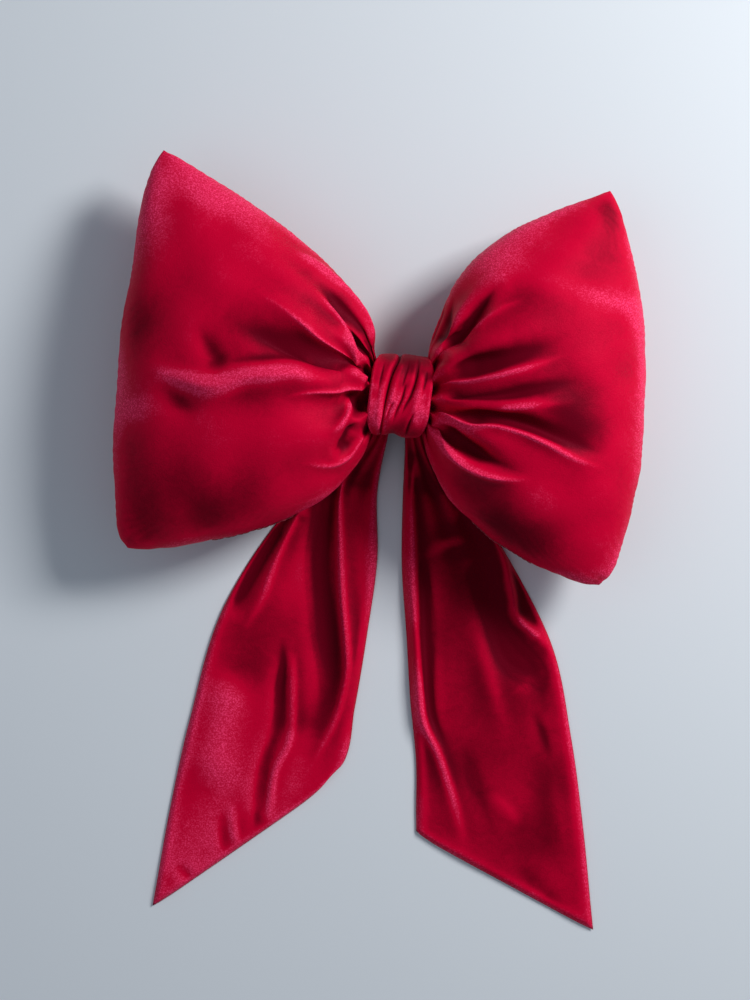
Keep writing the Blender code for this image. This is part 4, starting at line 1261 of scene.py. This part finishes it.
# %% Tail surfaces
def tail_plan(tail):
    """(out, down) of a grid: each row joins the inner edge to the outer edge.

    The edges are smooth curves, and the hem's corners are drawn up by exp(-distance).
    """
    u, v = np.linspace(0, 1, TAIL_ROWS)[:, None], np.linspace(0, 1, TAIL_COLUMNS)[None, :]
    corner, tip = tail["corner"] / 1000, tail["tip"] / 1000
    down_in, down_out = HEAD_TOP + u * (corner - HEAD_TOP), HEAD_TOP + u * (tip - HEAD_TOP)
    edge_in = smooth_curve(np.array(tail["inner"])[:, ::-1] / 1000, down_in)
    edge_out = smooth_curve(np.array(tail["outer"])[:, ::-1] / 1000, down_out)
    round_in, round_out = np.array(tail["hem_round"]) / 1000
    turned = round_in * np.exp(-v / HEM_TURN) + round_out * np.exp(-(1 - v) / HEM_TURN)
    down = down_in + (down_out - down_in) * v - turned * smoothstep((u - 0.93) / 0.07)
    return np.dstack([edge_in + (edge_out - edge_in) * v, down])


def tail_heights(tail, plan):
    """Low and high surfaces: a fall from the head to the floor, seams and folds.

    The fall is a smoothstep, the sewn edges are quarter circles, and the folds are
    strokes, soft noise and cosine pleats that die out exponentially down the tail.
    """
    down = plan[..., 1]
    fallen = smoothstep((down - FALL[0]) / (FALL[1] - FALL[0]))
    u, v = np.linspace(0, 1, TAIL_ROWS)[:, None], np.linspace(-1, 1, TAIL_COLUMNS)[None, :]
    inside = np.minimum((1 - np.abs(v)) / SIDE_EDGE, (1 - u) / HEM_EDGE)
    round_edge = np.sqrt(1 - (1 - np.clip(inside, 0, 1)) ** 2)
    drawn = HEAD_PINCH * np.exp(-((down - HEAD_BOUND[0]) / HEAD_BOUND[1]) ** 2)
    thick = (HEAD_THICK + (TAIL_THICK - HEAD_THICK) * fallen) * (1 - drawn)
    thick = EDGE_THICK + (thick - EDGE_THICK) * (0.25 + 0.75 * np.clip(inside, 0, 1)) * round_edge
    folds = stroke_sum(plan, tail["folds"]) / 1000
    folds += TAIL_WAVE * soft_noise(plan, tail["tip"], TAIL_WAVE_SIZE)
    pleats = TAIL_PLEAT * np.cos(math.pi * TAIL_PLEATS * (v + 1))
    pleats = pleats * np.exp(-np.clip(down - FALL[0], 0, 1) / PLEAT_FADE)
    near_edge = smoothstep((1 - np.abs(v)) / 0.10) * smoothstep((1 - u) / 0.02)
    folds = (folds + pleats) * (0.25 + 0.75 * near_edge)
    hanging = HEAD_LOW_Z * (1 - fallen)
    low = FLOOR_GAP + hanging + np.clip(0.5 * folds + 0.0006, 0, None) * (0.2 + 0.8 * fallen)
    high = low + thick + np.maximum(0.5 * folds, -0.6 * thick)
    return low, high


for name, tail in TAILS.items():
    print(f"{name} tail's grid:", tail_plan(tail).shape)


# %% One tail
def velvet_tail(name):
    """Two layers over one plan, sewn together all round, with their nap brushed and painted highlight and
    shade added.
    """
    tail, side = TAILS[name], SIDES[name]
    plan = tail_plan(tail)
    low, high = tail_heights(tail, plan)
    x, y = KNOT[0] + side * plan[..., 0], KNOT[1] - plan[..., 1]
    front, back, faces = sewn_case(TAIL_ROWS, TAIL_COLUMNS, open_start=False)
    points = case_points(front, back, np.dstack([x, y, high]), np.dstack([x, y, low]))
    piece = new_piece(f"{name}_tail_velvet", points, turned_out(points, faces), VELVET)
    at = np.column_stack([(points[:, 0] - KNOT[0]) * side, KNOT[1] - points[:, 1]])
    # nap with painted light: the strokes and the shape add painted highlight on fold crests and painted shade
    # in fold hollows
    nap_and_painted_light = tail["open"] + 0.05 * soft_noise(points, 41 + len(name), 0.06) + stroke_sum(at, tail["nap_and_painted_light"])
    nap_and_painted_light += 0.10 * smoothstep((at[:, 1] - 0.15) / 0.15)
    brush_nap_and_paint_light(piece, nap_and_painted_light, fine=0.22, wide=0.25)
    width, length = np.ptp(at, axis=0)
    print(f"{name} tail: {len(points)} points, spread {width * 1000:.0f} x {length * 1000:.0f} mm")
    return piece


# %% [markdown]
# ### The thread round a tail's head
#
# A few turns of thread bind each gathered head before it is sewn on. Rings would be
# simpler, but thread is one length: so it is a coil, flattened to the head's shape.

# %% The head's thread
def head_thread(name):
    """The thread wound round a tail's head: a superellipse of power 6 that goes down as it turns."""
    turn = np.linspace(0, 2 * math.pi * HEAD_TURNS, 36 * HEAD_TURNS + 1)
    aside, above = np.cos(turn), np.sin(turn)
    radius = (aside ** 6 + above ** 6) ** (-1 / 6)
    out = HEAD_MIDDLE + HEAD_HALF * radius * aside
    hug = HEAD_THICK * HEAD_HUG
    z = HEAD_LOW_Z + hug + (hug + THREAD_RADIUS * 0.4) * radius * above
    down = HEAD_BOUND[0] + THREAD_PITCH * (turn / (2 * math.pi) - HEAD_TURNS / 2)
    route = np.column_stack([KNOT[0] + SIDES[name] * out, KNOT[1] - down, z])
    return thread_tube(f"{name}_tail_head_thread", route)


print("turns of thread:", HEAD_TURNS)

# %% [markdown]
# ### Onto the bodies
#
# The frame has two bodies in each tail, with a hinge between them, and the velvet is
# one strip. Cutting it there would open a gap when the tail lifts. Here the strip rides
# on no body; only the thread round its head rides on the upper body.

# %% Both tails
for name in SIDES:
    piece = velvet_tail(name)
    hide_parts(*(f"{name}_tail_{stretch}_{layer}_layer"
                         for stretch in ("upper", "lower") for layer in ("front", "back")))
    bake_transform(piece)
    thread = head_thread(name)
    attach(thread, f"{name}_tail_upper")
    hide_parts(f"{name}_tail_head_stitches")

# %% [markdown]
# ## The carried-over pieces
#
# The gathering thread, the strap that ties the bow on, and the stitches of the band
# and strap could be drawn again, but their CAD shapes are already what they should
# be. So they keep them, and get a thread or a ribbon finish.

# %% Finishes for the CAD pieces
SEWN_WITH_THREAD = ("gathering_thread", "knot_band_stitches", "tie_loop_upper_stitches",
                    "tie_loop_lower_stitches")
for node in (*SEWN_WITH_THREAD, "back_tie_loop"):
    finish = RIBBON if node == "back_tie_loop" else THREAD
    materials = frame["nodes"][node].data.materials
    materials.clear()
    materials.append(finish)
    print("finish:", node, finish.name)
